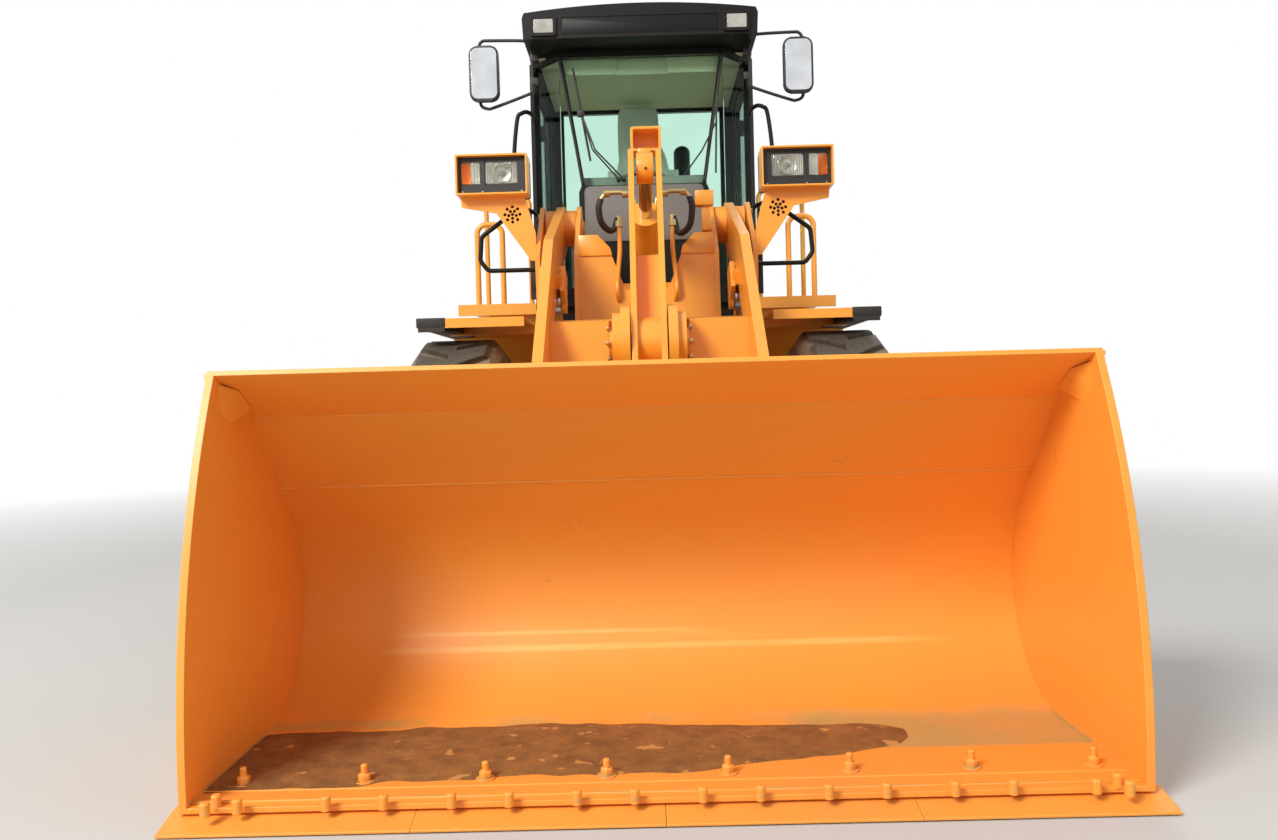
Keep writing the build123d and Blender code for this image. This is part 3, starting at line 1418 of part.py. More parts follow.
with BuildPart() as hood:
    add(hood_block.part)
    add(hood_core.part, mode=Mode.SUBTRACT)
    with BuildSketch(Plane.YZ.offset(-hood_half_width - 10)):
        with Locations((side_door_mid_y, side_door_mid_z)):
            RectangleRounded(side_door_rear_y - side_door_front_y, side_door_top_z - side_door_low_z, 60)
    extrude(amount=2 * hood_half_width + 20, mode=Mode.SUBTRACT)
    with BuildSketch(Plane.XZ.offset(-hood_rear_y - 10)):
        with Locations((0, (grille_low_z + grille_top_z) / 2)):
            Rectangle(2 * grille_half, grille_top_z - grille_low_z)
    extrude(amount=60, mode=Mode.SUBTRACT)
    for side in (-1, 1):
        for hinge_y in side_hinge_y:
            spot = (side * hood_half_width, hinge_y, side_door_top_z - door_gap / 2)
            with Locations(Plane(origin=spot, x_dir=(side, 0, 0), z_dir=(0, -side, 0))):
                add(hinge_fixed.part)
    for hinge_z in grille_hinge_z:
        spot = (-grille_half + door_gap / 2, hood_rear_y, hinge_z)
        with Locations(Plane(origin=spot, x_dir=(0, 1, 0), z_dir=(0, 0, 1))):
            add(hinge_fixed.part)
hood.part.label = "hood"
export_step(hood.part, "parts/hood.step")

for name, side in (("left", 1), ("right", -1)):
    low_x = hood_half_width - side_door_plate if side > 0 else -hood_half_width
    with BuildPart() as side_door:
        with BuildSketch(Plane.YZ.offset(low_x)):
            with Locations((side_door_mid_y, side_door_mid_z)):
                RectangleRounded(
                    side_door_rear_y - side_door_front_y - 2 * door_gap,
                    side_door_top_z - side_door_low_z - 2 * door_gap,
                    60 - door_gap,
                )
        extrude(amount=side_door_plate)
        # Shallow recess that the mesh lies in, near the rear end
        with BuildSketch(Plane.YZ.offset(side * hood_half_width)):
            with Locations((side_door_rear_y - mesh_inset - mesh_length / 2, side_door_mid_z)):
                RectangleRounded(mesh_length, mesh_height, mesh_corner)
        extrude(amount=-side * mesh_depth, mode=Mode.SUBTRACT)
        for hinge_y in side_hinge_y:
            spot = (side * hood_half_width, hinge_y, side_door_top_z - door_gap / 2)
            with Locations(Plane(origin=spot, x_dir=(side, 0, 0), z_dir=(0, -side, 0))):
                add(hinge_moving.part)
    side_door.part.label = "side_door_" + name
    export_step(side_door.part, "parts/side_door_" + name + ".step")

with BuildPart() as grille_door:
    with BuildSketch(Plane.XZ.offset(-hood_rear_y)):
        with Locations((0, (grille_low_z + grille_top_z) / 2)):
            Rectangle(2 * (grille_half - door_gap), grille_top_z - grille_low_z - 2 * door_gap)
    extrude(amount=grille_plate)
    with BuildSketch(Plane.XZ.offset(-hood_rear_y)):
        with Locations((0, (grille_low_z + grille_top_z) / 2)):
            with GridLocations(2 * louvre_half + louvre_height, louvre_pitch, 2, louvre_rows):
                Rectangle(2 * louvre_half, louvre_height)
    extrude(amount=louvre_depth, mode=Mode.SUBTRACT)
    for hinge_z in grille_hinge_z:
        spot = (-grille_half + door_gap / 2, hood_rear_y, hinge_z)
        with Locations(Plane(origin=spot, x_dir=(0, 1, 0), z_dir=(0, 0, 1))):
            add(hinge_moving.part)
grille_door.part.label = "grille_door"
export_step(grille_door.part, "parts/grille_door.step")

# Cab: base, shell with window openings, roof, glass and doors
with BuildPart() as cab_base:
    with BuildSketch(Plane.XY.offset(cab_base_z)):
        with Locations((0, (150 + cab_rear_y) / 2)):
            Rectangle(2 * cab_base_half, cab_rear_y - 150)
    extrude(amount=cab_floor_z - cab_base_z)
cab_base.part.label = "cab_base"
export_step(cab_base.part, "parts/cab_base.step")

cab_plan = [
    (-cab_front_half, cab_front_y),
    (cab_front_half, cab_front_y),
    (cab_half_width, cab_corner_y),
    (cab_half_width, cab_rear_y),
    (-cab_half_width, cab_rear_y),
    (-cab_half_width, cab_corner_y),
]
side_dir = math.atan2(cab_corner_y - cab_front_y, cab_half_width - cab_front_half)
side_pane_width = math.hypot(cab_corner_y - cab_front_y, cab_half_width - cab_front_half)
screen_outline = [
    (-screen_low_half, screen_low_z),
    (screen_low_half, screen_low_z),
    (screen_top_half, screen_top_z),
    (-screen_top_half, screen_top_z),
]
corner_outline = [
    (corner_pane_x, corner_pane_low_z),
    (corner_pane_x, screen_low_z - 40),
    (screen_low_half + screen_bar, screen_low_z),
    (screen_top_half + screen_bar, screen_top_z),
    (cab_front_half + screen_bar, screen_top_z),
    (cab_front_half + screen_bar, corner_pane_low_z),
]
with BuildPart() as cab_shell:
    with BuildSketch(Plane.XY.offset(cab_floor_z)):
        Polygon(*cab_plan, align=None)
    extrude(amount=cab_top_z - cab_floor_z)
    with BuildSketch(Plane.XY.offset(cab_floor_z + cab_floor_plate)):
        Polygon(*cab_plan, align=None)
        offset(amount=-cab_wall, kind=Kind.INTERSECTION, mode=Mode.REPLACE)
    extrude(amount=cab_top_z - cab_floor_z, mode=Mode.SUBTRACT)
    # Windscreen opening, narrower below
    with BuildSketch(Plane.XZ.offset(-cab_front_y + 20)):
        Polygon(*screen_outline, align=None)
    extrude(amount=-cab_wall - 25, mode=Mode.SUBTRACT)
    # Openings that run round the front corners
    for side in (-1, 1):
        with BuildSketch(Plane.XZ.offset(-cab_front_y + 20)):
            Polygon(*[(side * x, z) for x, z in corner_outline], align=None)
        extrude(amount=-cab_wall - 25, mode=Mode.SUBTRACT)
        pane_plane = Plane(
            origin=(side * cab_half_width, cab_corner_y, 0),
            x_dir=(-side * math.cos(side_dir), -math.sin(side_dir), 0),
            z_dir=(side * math.sin(side_dir), -math.cos(side_dir), 0),
        )
        pane_up = -1 if side > 0 else 1
        with BuildSketch(pane_plane):
            with Locations((screen_frame + side_pane_width / 2, pane_up * (corner_pane_low_z + screen_top_z) / 2)):
                Rectangle(side_pane_width, screen_top_z - corner_pane_low_z)
        extrude(amount=cab_wall, both=True, mode=Mode.SUBTRACT)
    # Door openings, rear quarter windows and rear window
    with BuildSketch(Plane.YZ.offset(-cab_half_width - 10)):
        with Locations(((door_front_y + door_rear_y) / 2, (door_low_z + door_top_z) / 2)):
            Rectangle(door_rear_y - door_front_y, door_top_z - door_low_z)
    extrude(amount=2 * cab_half_width + 20, mode=Mode.SUBTRACT)
    with BuildSketch(Plane.YZ.offset(-cab_half_width - 10)):
        with Locations(((door_rear_y + cab_rear_y) / 2 + 10, (screen_low_z + screen_top_z) / 2)):
            Rectangle(cab_rear_y - door_rear_y - 90, screen_top_z - screen_low_z)
    extrude(amount=2 * cab_half_width + 20, mode=Mode.SUBTRACT)
    with BuildSketch(Plane.XZ.offset(-cab_rear_y - 20)):
        with Locations((0, (screen_low_z + screen_top_z) / 2)):
            Rectangle(2 * cab_half_width - 260, screen_top_z - screen_low_z)
    extrude(amount=cab_wall + 40, mode=Mode.SUBTRACT)
    for side in (-1, 1):
        for hinge_z in cab_hinge_z:
            spot = (side * cab_half_width, door_rear_y - door_gap / 2, hinge_z)
            with Locations(Plane(origin=spot, x_dir=(side, 0, 0), z_dir=(0, 0, side))):
                add(hinge_fixed.part)
cab_shell.part.label = "cab_shell"
export_step(cab_shell.part, "parts/cab_shell.step")

# Roof cap, arched across
roof_low_z = cab_top_z + seat_gap
roof_side_z = cab_top_z + roof_side_height
roof_crown_z = roof_side_z + roof_arch_height
roof_lamp_z = (roof_low_z + roof_side_z) / 2 - 5
with BuildPart() as cab_roof:
    with BuildSketch(Plane.XZ.offset(-roof_front_y)):
        with BuildLine():
            Polyline(
                (-roof_half_width + roof_edge_inset, roof_side_z),
                (-roof_half_width, roof_side_z - roof_edge_drop),
                (-roof_half_width + roof_edge_inset / 2, roof_low_z),
                (roof_half_width - roof_edge_inset / 2, roof_low_z),
                (roof_half_width, roof_side_z - roof_edge_drop),
                (roof_half_width - roof_edge_inset, roof_side_z),
            )
            ThreePointArc(
                (roof_half_width - roof_edge_inset, roof_side_z),
                (0, roof_crown_z),
                (-roof_half_width + roof_edge_inset, roof_side_z),
            )
        make_face()
    extrude(amount=roof_front_y - roof_rear_y)
    # Housings of the corner lamps, their lens recesses and the recessed band between them
    with BuildSketch(Plane.XZ.offset(-roof_front_y)):
        with Locations((-roof_lamp_x, roof_lamp_z), (roof_lamp_x, roof_lamp_z)):
            RectangleRounded(roof_lamp_width, roof_lamp_height, roof_lens_rim)
    extrude(amount=roof_lamp_depth)
    with BuildSketch(Plane.XZ.offset(-roof_front_y + roof_lamp_depth)):
        with Locations((-roof_lamp_x, roof_lamp_z), (roof_lamp_x, roof_lamp_z)):
            Rectangle(roof_lamp_width - 2 * roof_lens_rim, roof_lamp_height - 2 * roof_lens_rim)
    extrude(amount=-roof_lens_depth, mode=Mode.SUBTRACT)
    with BuildSketch(Plane.XZ.offset(-roof_front_y)):
        with Locations((0, roof_lamp_z)):
            Rectangle(2 * roof_band_half, roof_band_height)
    extrude(amount=-roof_band_depth, mode=Mode.SUBTRACT)
cab_roof.part.label = "cab_roof"
export_step(cab_roof.part, "parts/cab_roof.step")

# Fixed glass, seated on the inside of the openings
pane_end_y = cab_corner_y - screen_frame * math.sin(side_dir) - seat_gap
with BuildPart() as cab_glass:
    # Panes that run round the front corners, cut back at the windscreen's pillars
    with BuildSketch(Plane.XY.offset(corner_pane_low_z + seat_gap)):
        Polygon(*cab_plan, align=None)
        offset(amount=(glass - cab_wall) / 2, kind=Kind.INTERSECTION, mode=Mode.REPLACE)
    extrude(amount=screen_top_z - corner_pane_low_z - 2 * seat_gap)
    with BuildSketch(Plane.XY.offset(corner_pane_low_z)):
        Polygon(*cab_plan, align=None)
        offset(amount=-(glass + cab_wall) / 2, kind=Kind.INTERSECTION, mode=Mode.REPLACE)
    extrude(amount=screen_top_z - corner_pane_low_z, mode=Mode.SUBTRACT)
    with BuildSketch(Plane.XZ.offset(-cab_rear_y - 20)):
        Rectangle(4 * cab_half_width, 3 * cab_top_z)
    extrude(amount=cab_rear_y + 20 - pane_end_y, mode=Mode.SUBTRACT)
    with BuildSketch(Plane.XZ.offset(-cab_front_y + 20)):
        Polygon(
            (-corner_pane_x - seat_gap, 0),
            (-corner_pane_x - seat_gap, screen_low_z - 40),
            (-screen_low_half - screen_bar - seat_gap, screen_low_z),
            (-screen_top_half - screen_bar - seat_gap, screen_top_z),
            (screen_top_half + screen_bar + seat_gap, screen_top_z),
            (screen_low_half + screen_bar + seat_gap, screen_low_z),
            (corner_pane_x + seat_gap, screen_low_z - 40),
            (corner_pane_x + seat_gap, 0),
            align=None,
        )
    extrude(amount=-cab_wall - 25, mode=Mode.SUBTRACT)
    with BuildSketch(Plane.XZ.offset(-cab_front_y - cab_wall / 2)):
        Polygon(
            (-screen_low_half + seat_gap, screen_low_z + seat_gap),
            (screen_low_half - seat_gap, screen_low_z + seat_gap),
            (screen_top_half - seat_gap, screen_top_z - seat_gap),
            (-screen_top_half + seat_gap, screen_top_z - seat_gap),
            align=None,
        )
    extrude(amount=glass)
    for side in (-1, 1):
        low_x = side * (cab_half_width - cab_wall / 2) - glass / 2
        with BuildSketch(Plane.YZ.offset(low_x)):
            with Locations(((door_rear_y + cab_rear_y) / 2 + 10, (screen_low_z + screen_top_z) / 2)):
                Rectangle(cab_rear_y - door_rear_y - 90 - 2 * seat_gap, screen_top_z - screen_low_z - 2 * seat_gap)
        extrude(amount=glass)
    with BuildSketch(Plane.XZ.offset(-cab_rear_y + cab_wall / 2)):
        with Locations((0, (screen_low_z + screen_top_z) / 2)):
            Rectangle(2 * cab_half_width - 260 - 2 * seat_gap, screen_top_z - screen_low_z - 2 * seat_gap)
    extrude(amount=glass)
cab_glass.part.label = "cab_glass"
export_step(cab_glass.part, "parts/cab_glass.step")

# Doors: a frame and its glass, hinged at the rear post
door_handle_z = 2150
for name, side in (("left", 1), ("right", -1)):
    low_x = cab_half_width - door_thickness if side > 0 else -cab_half_width
    door_mid = ((door_front_y + door_rear_y) / 2, (door_low_z + door_top_z) / 2)
    door_size = (door_rear_y - door_front_y - 2 * door_gap, door_top_z - door_low_z - 2 * door_gap)
    with BuildPart() as door:
        with BuildSketch(Plane.YZ.offset(low_x)):
            with Locations(door_mid):
                Rectangle(*door_size)
                Rectangle(door_size[0] - 2 * door_frame, door_size[1] - 2 * door_frame, mode=Mode.SUBTRACT)
            with Locations((door_mid[0], door_handle_z)):
                Rectangle(door_size[0] - 2, 60)
        extrude(amount=door_thickness)
        for hinge_z in cab_hinge_z:
            spot = (side * cab_half_width, door_rear_y - door_gap / 2, hinge_z)
            with Locations(Plane(origin=spot, x_dir=(side, 0, 0), z_dir=(0, 0, side))):
                add(hinge_moving.part)
    door.part.label = "door_" + name
    export_step(door.part, "parts/door_" + name + ".step")

    with BuildPart() as door_glass:
        with BuildSketch(Plane.YZ.offset(low_x + door_thickness / 2 - glass / 2)):
            with Locations(door_mid):
                Rectangle(door_size[0] - 2 * door_frame - 2 * seat_gap, door_size[1] - 2 * door_frame - 2 * seat_gap)
            with Locations((door_mid[0], door_handle_z)):
                Rectangle(door_size[0] - 2, 60 + 2 * seat_gap, mode=Mode.SUBTRACT)
        extrude(amount=glass)
    door_glass.part.label = "door_glass_" + name
    export_step(door_glass.part, "parts/door_glass_" + name + ".step")

# Operator's seat and its pedestal, and the steering column with its console
seat_y = 900
seat_half = 250
seat_top_z = 2080
seat_cushion = 130
seat_base_width = 320
seat_base_length = 360
seat_front = 270
seat_hinge = 170
seat_back = 90
seat_back_height = 560
seat_back_lean = 100
seat_corner = 22
headrest_width = 260
headrest_depth = 85
headrest_height = 160
headrest_y = seat_y + 330
inner_floor_z = cab_floor_z + cab_floor_plate
with BuildPart() as seat:
    with BuildSketch(Plane.XY.offset(inner_floor_z + seat_gap)):
        with Locations((0, seat_y + 20)):
            Rectangle(seat_base_width, seat_base_length)
    extrude(amount=seat_top_z - seat_cushion - inner_floor_z - seat_gap)
    with BuildSketch(Plane.YZ.offset(-seat_half)):
        with BuildLine():
            Polyline(
                (seat_y - seat_front, seat_top_z - seat_cushion),
                (seat_y + seat_hinge + seat_back, seat_top_z - seat_cushion),
                (seat_y + seat_hinge + seat_back_lean + seat_back, seat_top_z + seat_back_height),
                (seat_y + seat_hinge + seat_back_lean, seat_top_z + seat_back_height),
                (seat_y + seat_hinge, seat_top_z),
                (seat_y - seat_front, seat_top_z),
                close=True,
            )
        make_face()
        fillet(vertices(), seat_corner)
    extrude(amount=2 * seat_half)
    with BuildSketch(Plane.YZ.offset(-headrest_width / 2)):
        with Locations((headrest_y, seat_top_z + seat_back_height + headrest_height / 2)):
            RectangleRounded(headrest_depth, headrest_height, seat_corner)
    extrude(amount=headrest_width)
seat.part.label = "seat"
export_step(seat.part, "parts/seat.step")

column_y = 450
column_top_z = 2330
column_radius = 34
column_length = 330
column_lean = 30
pedestal_height = 420
pedestal_width = 260
pedestal_length = 180
wheel_rim_radius = 200
wheel_rim_bar = 26
wheel_rim_depth = 22
wheel_hub_radius = 50
side_console_x = 400
side_console_width = 170
side_console_length = 560
side_console_height = 520
dash_half = 380
dash_front_y = 190
dash_rear_y = 330
dash_low_z = 2000
dash_top_z = 2385
dash_corner = 30
column_lean_y = math.sin(math.radians(column_lean))
column_lean_z = math.cos(math.radians(column_lean))
column_plane = Plane(origin=(0, column_y, column_top_z), x_dir=(1, 0, 0), z_dir=(0, column_lean_y, column_lean_z))
with BuildPart() as console:
    with BuildSketch(Plane.XY.offset(inner_floor_z + seat_gap)):
        with Locations((0, dash_rear_y + 40)):
            Rectangle(pedestal_width, pedestal_length)
    extrude(amount=pedestal_height, taper=3)
    # Dash behind the foot of the windscreen
    with BuildSketch(Plane.YZ.offset(-dash_half)):
        with BuildLine():
            Polyline(
                (dash_front_y, dash_low_z),
                (dash_front_y, dash_top_z),
                (dash_rear_y - dash_corner, dash_top_z),
                (dash_rear_y, dash_top_z - dash_corner),
                (dash_rear_y, dash_low_z + 2 * dash_corner),
                (dash_rear_y - dash_corner, dash_low_z),
                close=True,
            )
        make_face()
    extrude(amount=2 * dash_half)
    with BuildSketch(column_plane):
        Circle(column_radius)
    extrude(amount=-column_length)
    with BuildSketch(column_plane):
        Circle(wheel_rim_radius)
        Circle(wheel_rim_radius - wheel_rim_bar, mode=Mode.SUBTRACT)
        Rectangle(2 * wheel_rim_radius - wheel_rim_bar, wheel_rim_bar * 1.5)
        Circle(wheel_hub_radius)
    extrude(amount=wheel_rim_depth)
    with BuildSketch(Plane.XY.offset(inner_floor_z + seat_gap)):
        with Locations((-side_console_x, seat_y + 40)):
            Rectangle(side_console_width, side_console_length)
    extrude(amount=side_console_height)
console.part.label = "console"
export_step(console.part, "parts/console.step")

# Mirrors on looped tubes
mirror_y = 25
mirror_in_x = 845
mirror_out_x = 1030
mirror_low_z = 2825
mirror_top_z = 3155
mirror_tube = 11
with BuildPart() as mirrors:
    for side in (-1, 1):
        with BuildSketch(Plane.XZ.offset(-mirror_y)):
            with Locations((side * (mirror_in_x + mirror_out_x) / 2, (mirror_low_z + mirror_top_z) / 2)):
                RectangleRounded(mirror_out_x - mirror_in_x, mirror_top_z - mirror_low_z, 28)
        extrude(amount=45)
        for z in (mirror_low_z + 60, mirror_top_z - 80):
            start = (side * (mirror_in_x + 60), mirror_y - 5, z)
            elbow = (side * (mirror_in_x - 40), mirror_y + 30, z)
            end = (side * (cab_half_width - 22), cab_corner_y - 14, z)
            with BuildLine():
                path = FilletPolyline(start, elbow, end, radius=40)
            with BuildSketch(Plane(origin=start, z_dir=path % 0)):
                Circle(mirror_tube)
            sweep(path=path)
        start = (side * (mirror_in_x + 60), mirror_y - 5, mirror_low_z + 60)
        with BuildSketch(Plane.XY.offset(mirror_low_z + 60)):
            with Locations((side * (mirror_in_x + 60), mirror_y + 2)):
                Circle(mirror_tube)
        extrude(amount=mirror_top_z - mirror_low_z - 140)
    with BuildSketch(Plane.XY.offset(mirror_low_z)):
        Polygon(*cab_plan, align=None)
        offset(amount=seat_gap, kind=Kind.INTERSECTION)
    extrude(amount=mirror_top_z - mirror_low_z, mode=Mode.SUBTRACT)
mirrors.part.label = "mirrors"
export_step(mirrors.part, "parts/mirrors.step")

# Platforms beside the cab, carried on to fenders over the rear tyres
platform_in_x = cab_half_width + seat_gap
rear_fender_z = 1460
rear_fender_end_y = 2640
rear_fender_out_x = 1150
with BuildPart() as platforms:
    for side in (-1, 1):
        mid_x = side * (platform_in_x + platform_half) / 2
        width = platform_half - platform_in_x
        with BuildSketch(Plane.XY.offset(platform_z - platform_plate)):
            with Locations((mid_x, (platform_front_y + platform_rear_y) / 2)):
                Rectangle(width, platform_rear_y - platform_front_y)
        extrude(amount=platform_plate)
        with BuildSketch(Plane.YZ.offset(mid_x - width / 2)):
            Polygon(
                (platform_front_y, platform_z - 70),
                (platform_front_y, platform_z),
                (platform_front_y + platform_plate, platform_z),
                (platform_front_y + platform_plate, platform_z - 70),
                align=None,
            )
            Polygon(
                (platform_rear_y - platform_plate, platform_z),
                (platform_rear_y, platform_z),
                (platform_rear_y, rear_fender_z - fender_plate),
                (platform_rear_y - platform_plate, rear_fender_z - fender_plate),
                align=None,
            )
        extrude(amount=width)
        fender_in_x = hood_half_width + seat_gap
        mid_x = side * (fender_in_x + rear_fender_out_x) / 2
        width = rear_fender_out_x - fender_in_x
        with BuildSketch(Plane.YZ.offset(mid_x - width / 2)):
            Polygon(
                (platform_rear_y, rear_fender_z - fender_plate),
                (platform_rear_y, rear_fender_z),
                (rear_fender_end_y - 120, rear_fender_z),
                (rear_fender_end_y, rear_fender_z - 60),
                (rear_fender_end_y, rear_fender_z - 60 - fender_plate),
                (rear_fender_end_y - 120, rear_fender_z - fender_plate),
                align=None,
            )
        extrude(amount=width)
        with BuildSketch(Plane.XY.offset(rear_fender_z - 50)):
            with Locations((side * (rear_fender_out_x - fender_plate / 2), (platform_rear_y + rear_fender_end_y - 120) / 2)):
                Rectangle(fender_plate, rear_fender_end_y - 120 - platform_rear_y)
        extrude(amount=45)
platforms.part.label = "platforms"
export_step(platforms.part, "parts/platforms.step")

# Tanks with steps under the platforms
tank_in_x = 560 + seat_gap
tank_out_x = 1060
tank_front_y = 500
tank_rear_y = 1190
tank_low_z = 520
tank_top_z = platform_z - platform_plate - seat_gap
step_depth = 130
step_root = 15
step_plate = 26
step_width = 420
step_low_z = 560
step_rise = 300
step_count = 3
step_side = 16
step_side_depth = 60
tank_wall_inset = 20
tank_bevel = 110
tank_shelf_drop = 420
tank_shelf_inset = 60
with BuildPart() as side_tanks:
    for side in (-1, 1):
        with BuildSketch(Plane.XZ.offset(-tank_front_y)):
            Polygon(
                (side * (tank_in_x + tank_wall_inset), tank_low_z),
                (side * (tank_out_x - tank_bevel + tank_wall_inset * 1.5), tank_low_z),
                (side * tank_out_x, tank_low_z + tank_bevel),
                (side * tank_out_x, tank_top_z - tank_shelf_drop),
                (side * (tank_out_x - tank_shelf_inset), tank_top_z - tank_shelf_drop + tank_wall_inset),
                (side * (tank_out_x - tank_shelf_inset), tank_top_z),
                (side * platform_in_x, tank_top_z),
                (side * platform_in_x, cab_floor_z - seat_gap),
                (side * tank_in_x, cab_floor_z - seat_gap),
                (side * tank_in_x, tank_low_z + tank_shelf_inset),
                align=None,
            )
        extrude(amount=tank_front_y - tank_rear_y)
        tank_mid_y = (tank_front_y + tank_rear_y) / 2
        for k in range(step_count):
            with BuildSketch(Plane.XY.offset(step_low_z + k * step_rise)):
                with Locations((side * (tank_out_x + step_depth / 2 - step_root), tank_mid_y)):
                    Rectangle(step_depth + 2 * step_root, step_width)
            extrude(amount=step_plate)
        for end in (-1, 1):
            side_x = side * (tank_out_x + step_depth + 10 - step_side_depth / 2)
            with BuildSketch(Plane.XY.offset(step_low_z)):
                with Locations((side_x, tank_mid_y + end * (step_width + 10) / 2)):
                    Rectangle(step_side_depth, step_side)
            extrude(amount=(step_count - 1) * step_rise + step_plate)
side_tanks.part.label = "side_tanks"
export_step(side_tanks.part, "parts/side_tanks.step")

# Handrails: loops at the platform's front edge and tall rails behind the doors
handrail_table = [
    # x of the two posts, y, foot z, top z
    (895, 1052, platform_front_y + 22, platform_z, 2150),
    (820, 1130, platform_rear_y - 40, platform_z, 2500),
]
with BuildPart() as handrails:
    for side in (-1, 1):
        for x_in, x_out, y, foot_z, top_z in handrail_table:
            with BuildLine():
                path = FilletPolyline(
                    (side * x_in, y, foot_z + seat_gap),
                    (side * x_in, y, top_z),
                    (side * x_out, y, top_z),
                    (side * x_out, y, foot_z + seat_gap),
                    radius=60,
                )
            with BuildSketch(Plane(origin=(side * x_in, y, foot_z + seat_gap), z_dir=(0, 0, 1))):
                Circle(rail_tube_radius)
            sweep(path=path)
handrails.part.label = "handrails"
export_step(handrails.part, "parts/handrails.step")

# Exhaust stack with a slanted tip, and the air intake's cleaner
exhaust_x = 300
exhaust_y = 1780
exhaust_radius = 62
exhaust_top_z = 2950
cleaner_x = -280
cleaner_y = 1700
stack_foot_z = hood_top_z - 60
with BuildPart() as exhaust:
    with BuildSketch(Plane.XY.offset(stack_foot_z)):
        with Locations((exhaust_x, exhaust_y)):
            Circle(exhaust_radius)
    extrude(amount=exhaust_top_z - stack_foot_z)
    with BuildSketch(Plane.YZ.offset(exhaust_x - 100)):
        Polygon(
            (exhaust_y - 100, exhaust_top_z + 10),
            (exhaust_y + 100, exhaust_top_z + 10),
            (exhaust_y + 100, exhaust_top_z - 130),
            align=None,
        )
    extrude(amount=200, mode=Mode.SUBTRACT)
    with BuildSketch(Plane.XY.offset(stack_foot_z)):
        with Locations((cleaner_x, cleaner_y)):
            Circle(60)
    extrude(amount=220)
    with BuildSketch(Plane.XY.offset(stack_foot_z + 220)):
        with Locations((cleaner_x, cleaner_y)):
            Circle(115)
    extrude(amount=150, taper=6)
    add(hood_block.part, mode=Mode.SUBTRACT)
exhaust.part.label = "exhaust"
export_step(exhaust.part, "parts/exhaust.step")
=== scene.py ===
# %% [markdown]
# # A wheel loader, dressed for the camera
# The machine is an articulated loader with a wide bucket, a bowed boom and a tall glazed cab. Its steel
# frame is already modelled piece by piece, and this script gives it paint, rubber, glass and the small
# parts that a maker bolts, welds or glues on last. Everything is in metres: the bucket points to -Y, the
# machine's left is +X, and the ground is at Z = 0.

# %% Load the frame
import bpy
import bmesh
import json
import math
import numpy as np
from mathutils import Matrix, Vector


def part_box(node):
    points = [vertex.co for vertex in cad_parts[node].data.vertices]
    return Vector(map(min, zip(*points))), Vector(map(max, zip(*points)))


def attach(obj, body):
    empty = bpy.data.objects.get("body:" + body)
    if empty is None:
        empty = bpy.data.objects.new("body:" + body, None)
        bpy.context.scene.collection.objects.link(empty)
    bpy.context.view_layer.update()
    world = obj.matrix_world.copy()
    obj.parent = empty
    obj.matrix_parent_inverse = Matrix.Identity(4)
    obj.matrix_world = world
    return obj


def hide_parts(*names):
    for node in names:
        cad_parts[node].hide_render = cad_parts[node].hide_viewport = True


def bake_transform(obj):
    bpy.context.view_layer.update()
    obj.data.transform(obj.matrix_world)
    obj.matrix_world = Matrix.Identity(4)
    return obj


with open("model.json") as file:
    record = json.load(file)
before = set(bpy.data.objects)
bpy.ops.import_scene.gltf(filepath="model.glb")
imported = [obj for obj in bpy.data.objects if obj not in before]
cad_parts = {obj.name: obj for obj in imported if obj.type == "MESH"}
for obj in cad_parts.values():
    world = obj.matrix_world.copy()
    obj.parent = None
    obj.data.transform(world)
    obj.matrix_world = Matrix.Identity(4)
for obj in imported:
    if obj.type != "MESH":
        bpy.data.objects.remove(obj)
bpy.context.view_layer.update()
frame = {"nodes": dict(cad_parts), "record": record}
nodes = frame["nodes"]

# %% [markdown]
# ## Camera
# The photograph was taken from about six metres in front of the cutting edge, at chest height, with the
# camera turned a little, so that level lines climb to the right. A camera is easiest to place by its three
# directions: where it looks, what is right and what is up. They are the columns of its matrix.

# %% Camera
camera_place = Vector((-0.0232, -6.0174, 1.0513))
camera_yaw = 0.00715
camera_pitch = 0.02357
camera_roll = 0.0265
camera_lens = 28.61

flat = math.cos(camera_pitch)
look = Vector((-math.sin(camera_yaw) * flat, math.cos(camera_yaw) * flat, -math.sin(camera_pitch)))
level = look.cross(Vector((0, 0, 1))).normalized()
upright = level.cross(look)
right = level * math.cos(camera_roll) - upright * math.sin(camera_roll)
up = upright * math.cos(camera_roll) + level * math.sin(camera_roll)
camera_data = bpy.data.cameras.new("camera")
camera_data.lens = camera_lens
camera_data.sensor_width = 36.0
camera_data.clip_end = 200.0
camera = bpy.data.objects.new("camera", camera_data)
turned_by = Matrix((right, up, -look)).transposed().to_4x4()
camera.matrix_world = Matrix.Translation(camera_place) @ turned_by
bpy.context.scene.collection.objects.link(camera)
bpy.context.scene.camera = camera
bpy.context.scene.view_settings.view_transform = "Standard"
print("camera at", tuple(camera_place), "lens", camera_lens)

# %% [markdown]
# ## Shader helpers
# A finish is a small tree of nodes. One helper adds a node and wires it in a single line, and another
# starts a node group with named sockets, so that an effect such as dust is built once and used by many
# finishes.

# %% Shader helpers
def fill(tree, node, values):
    """Wires a node's inputs where a value is a socket, and sets them where it is a constant."""
    for key, value in values.items():
        if isinstance(value, bpy.types.NodeSocket):
            tree.links.new(value, node.inputs[key])
        else:
            node.inputs[key].default_value = value
    return node


def put(tree, kind, inputs=None, **settings):
    """Adds a shader node, sets it and wires or fills its inputs."""
    new = tree.nodes.new("ShaderNode" + kind)
    for key, value in settings.items():
        setattr(new, key, value)
    return fill(tree, new, inputs or {})


def math_of(tree, operation, a, b=0.0, clamp=False):
    new = put(tree, "Math", {0: a, 1: b}, operation=operation)
    new.use_clamp = clamp
    return new.outputs[0]


def times(tree, a, b, clamp=False):
    return math_of(tree, "MULTIPLY", a, b, clamp)


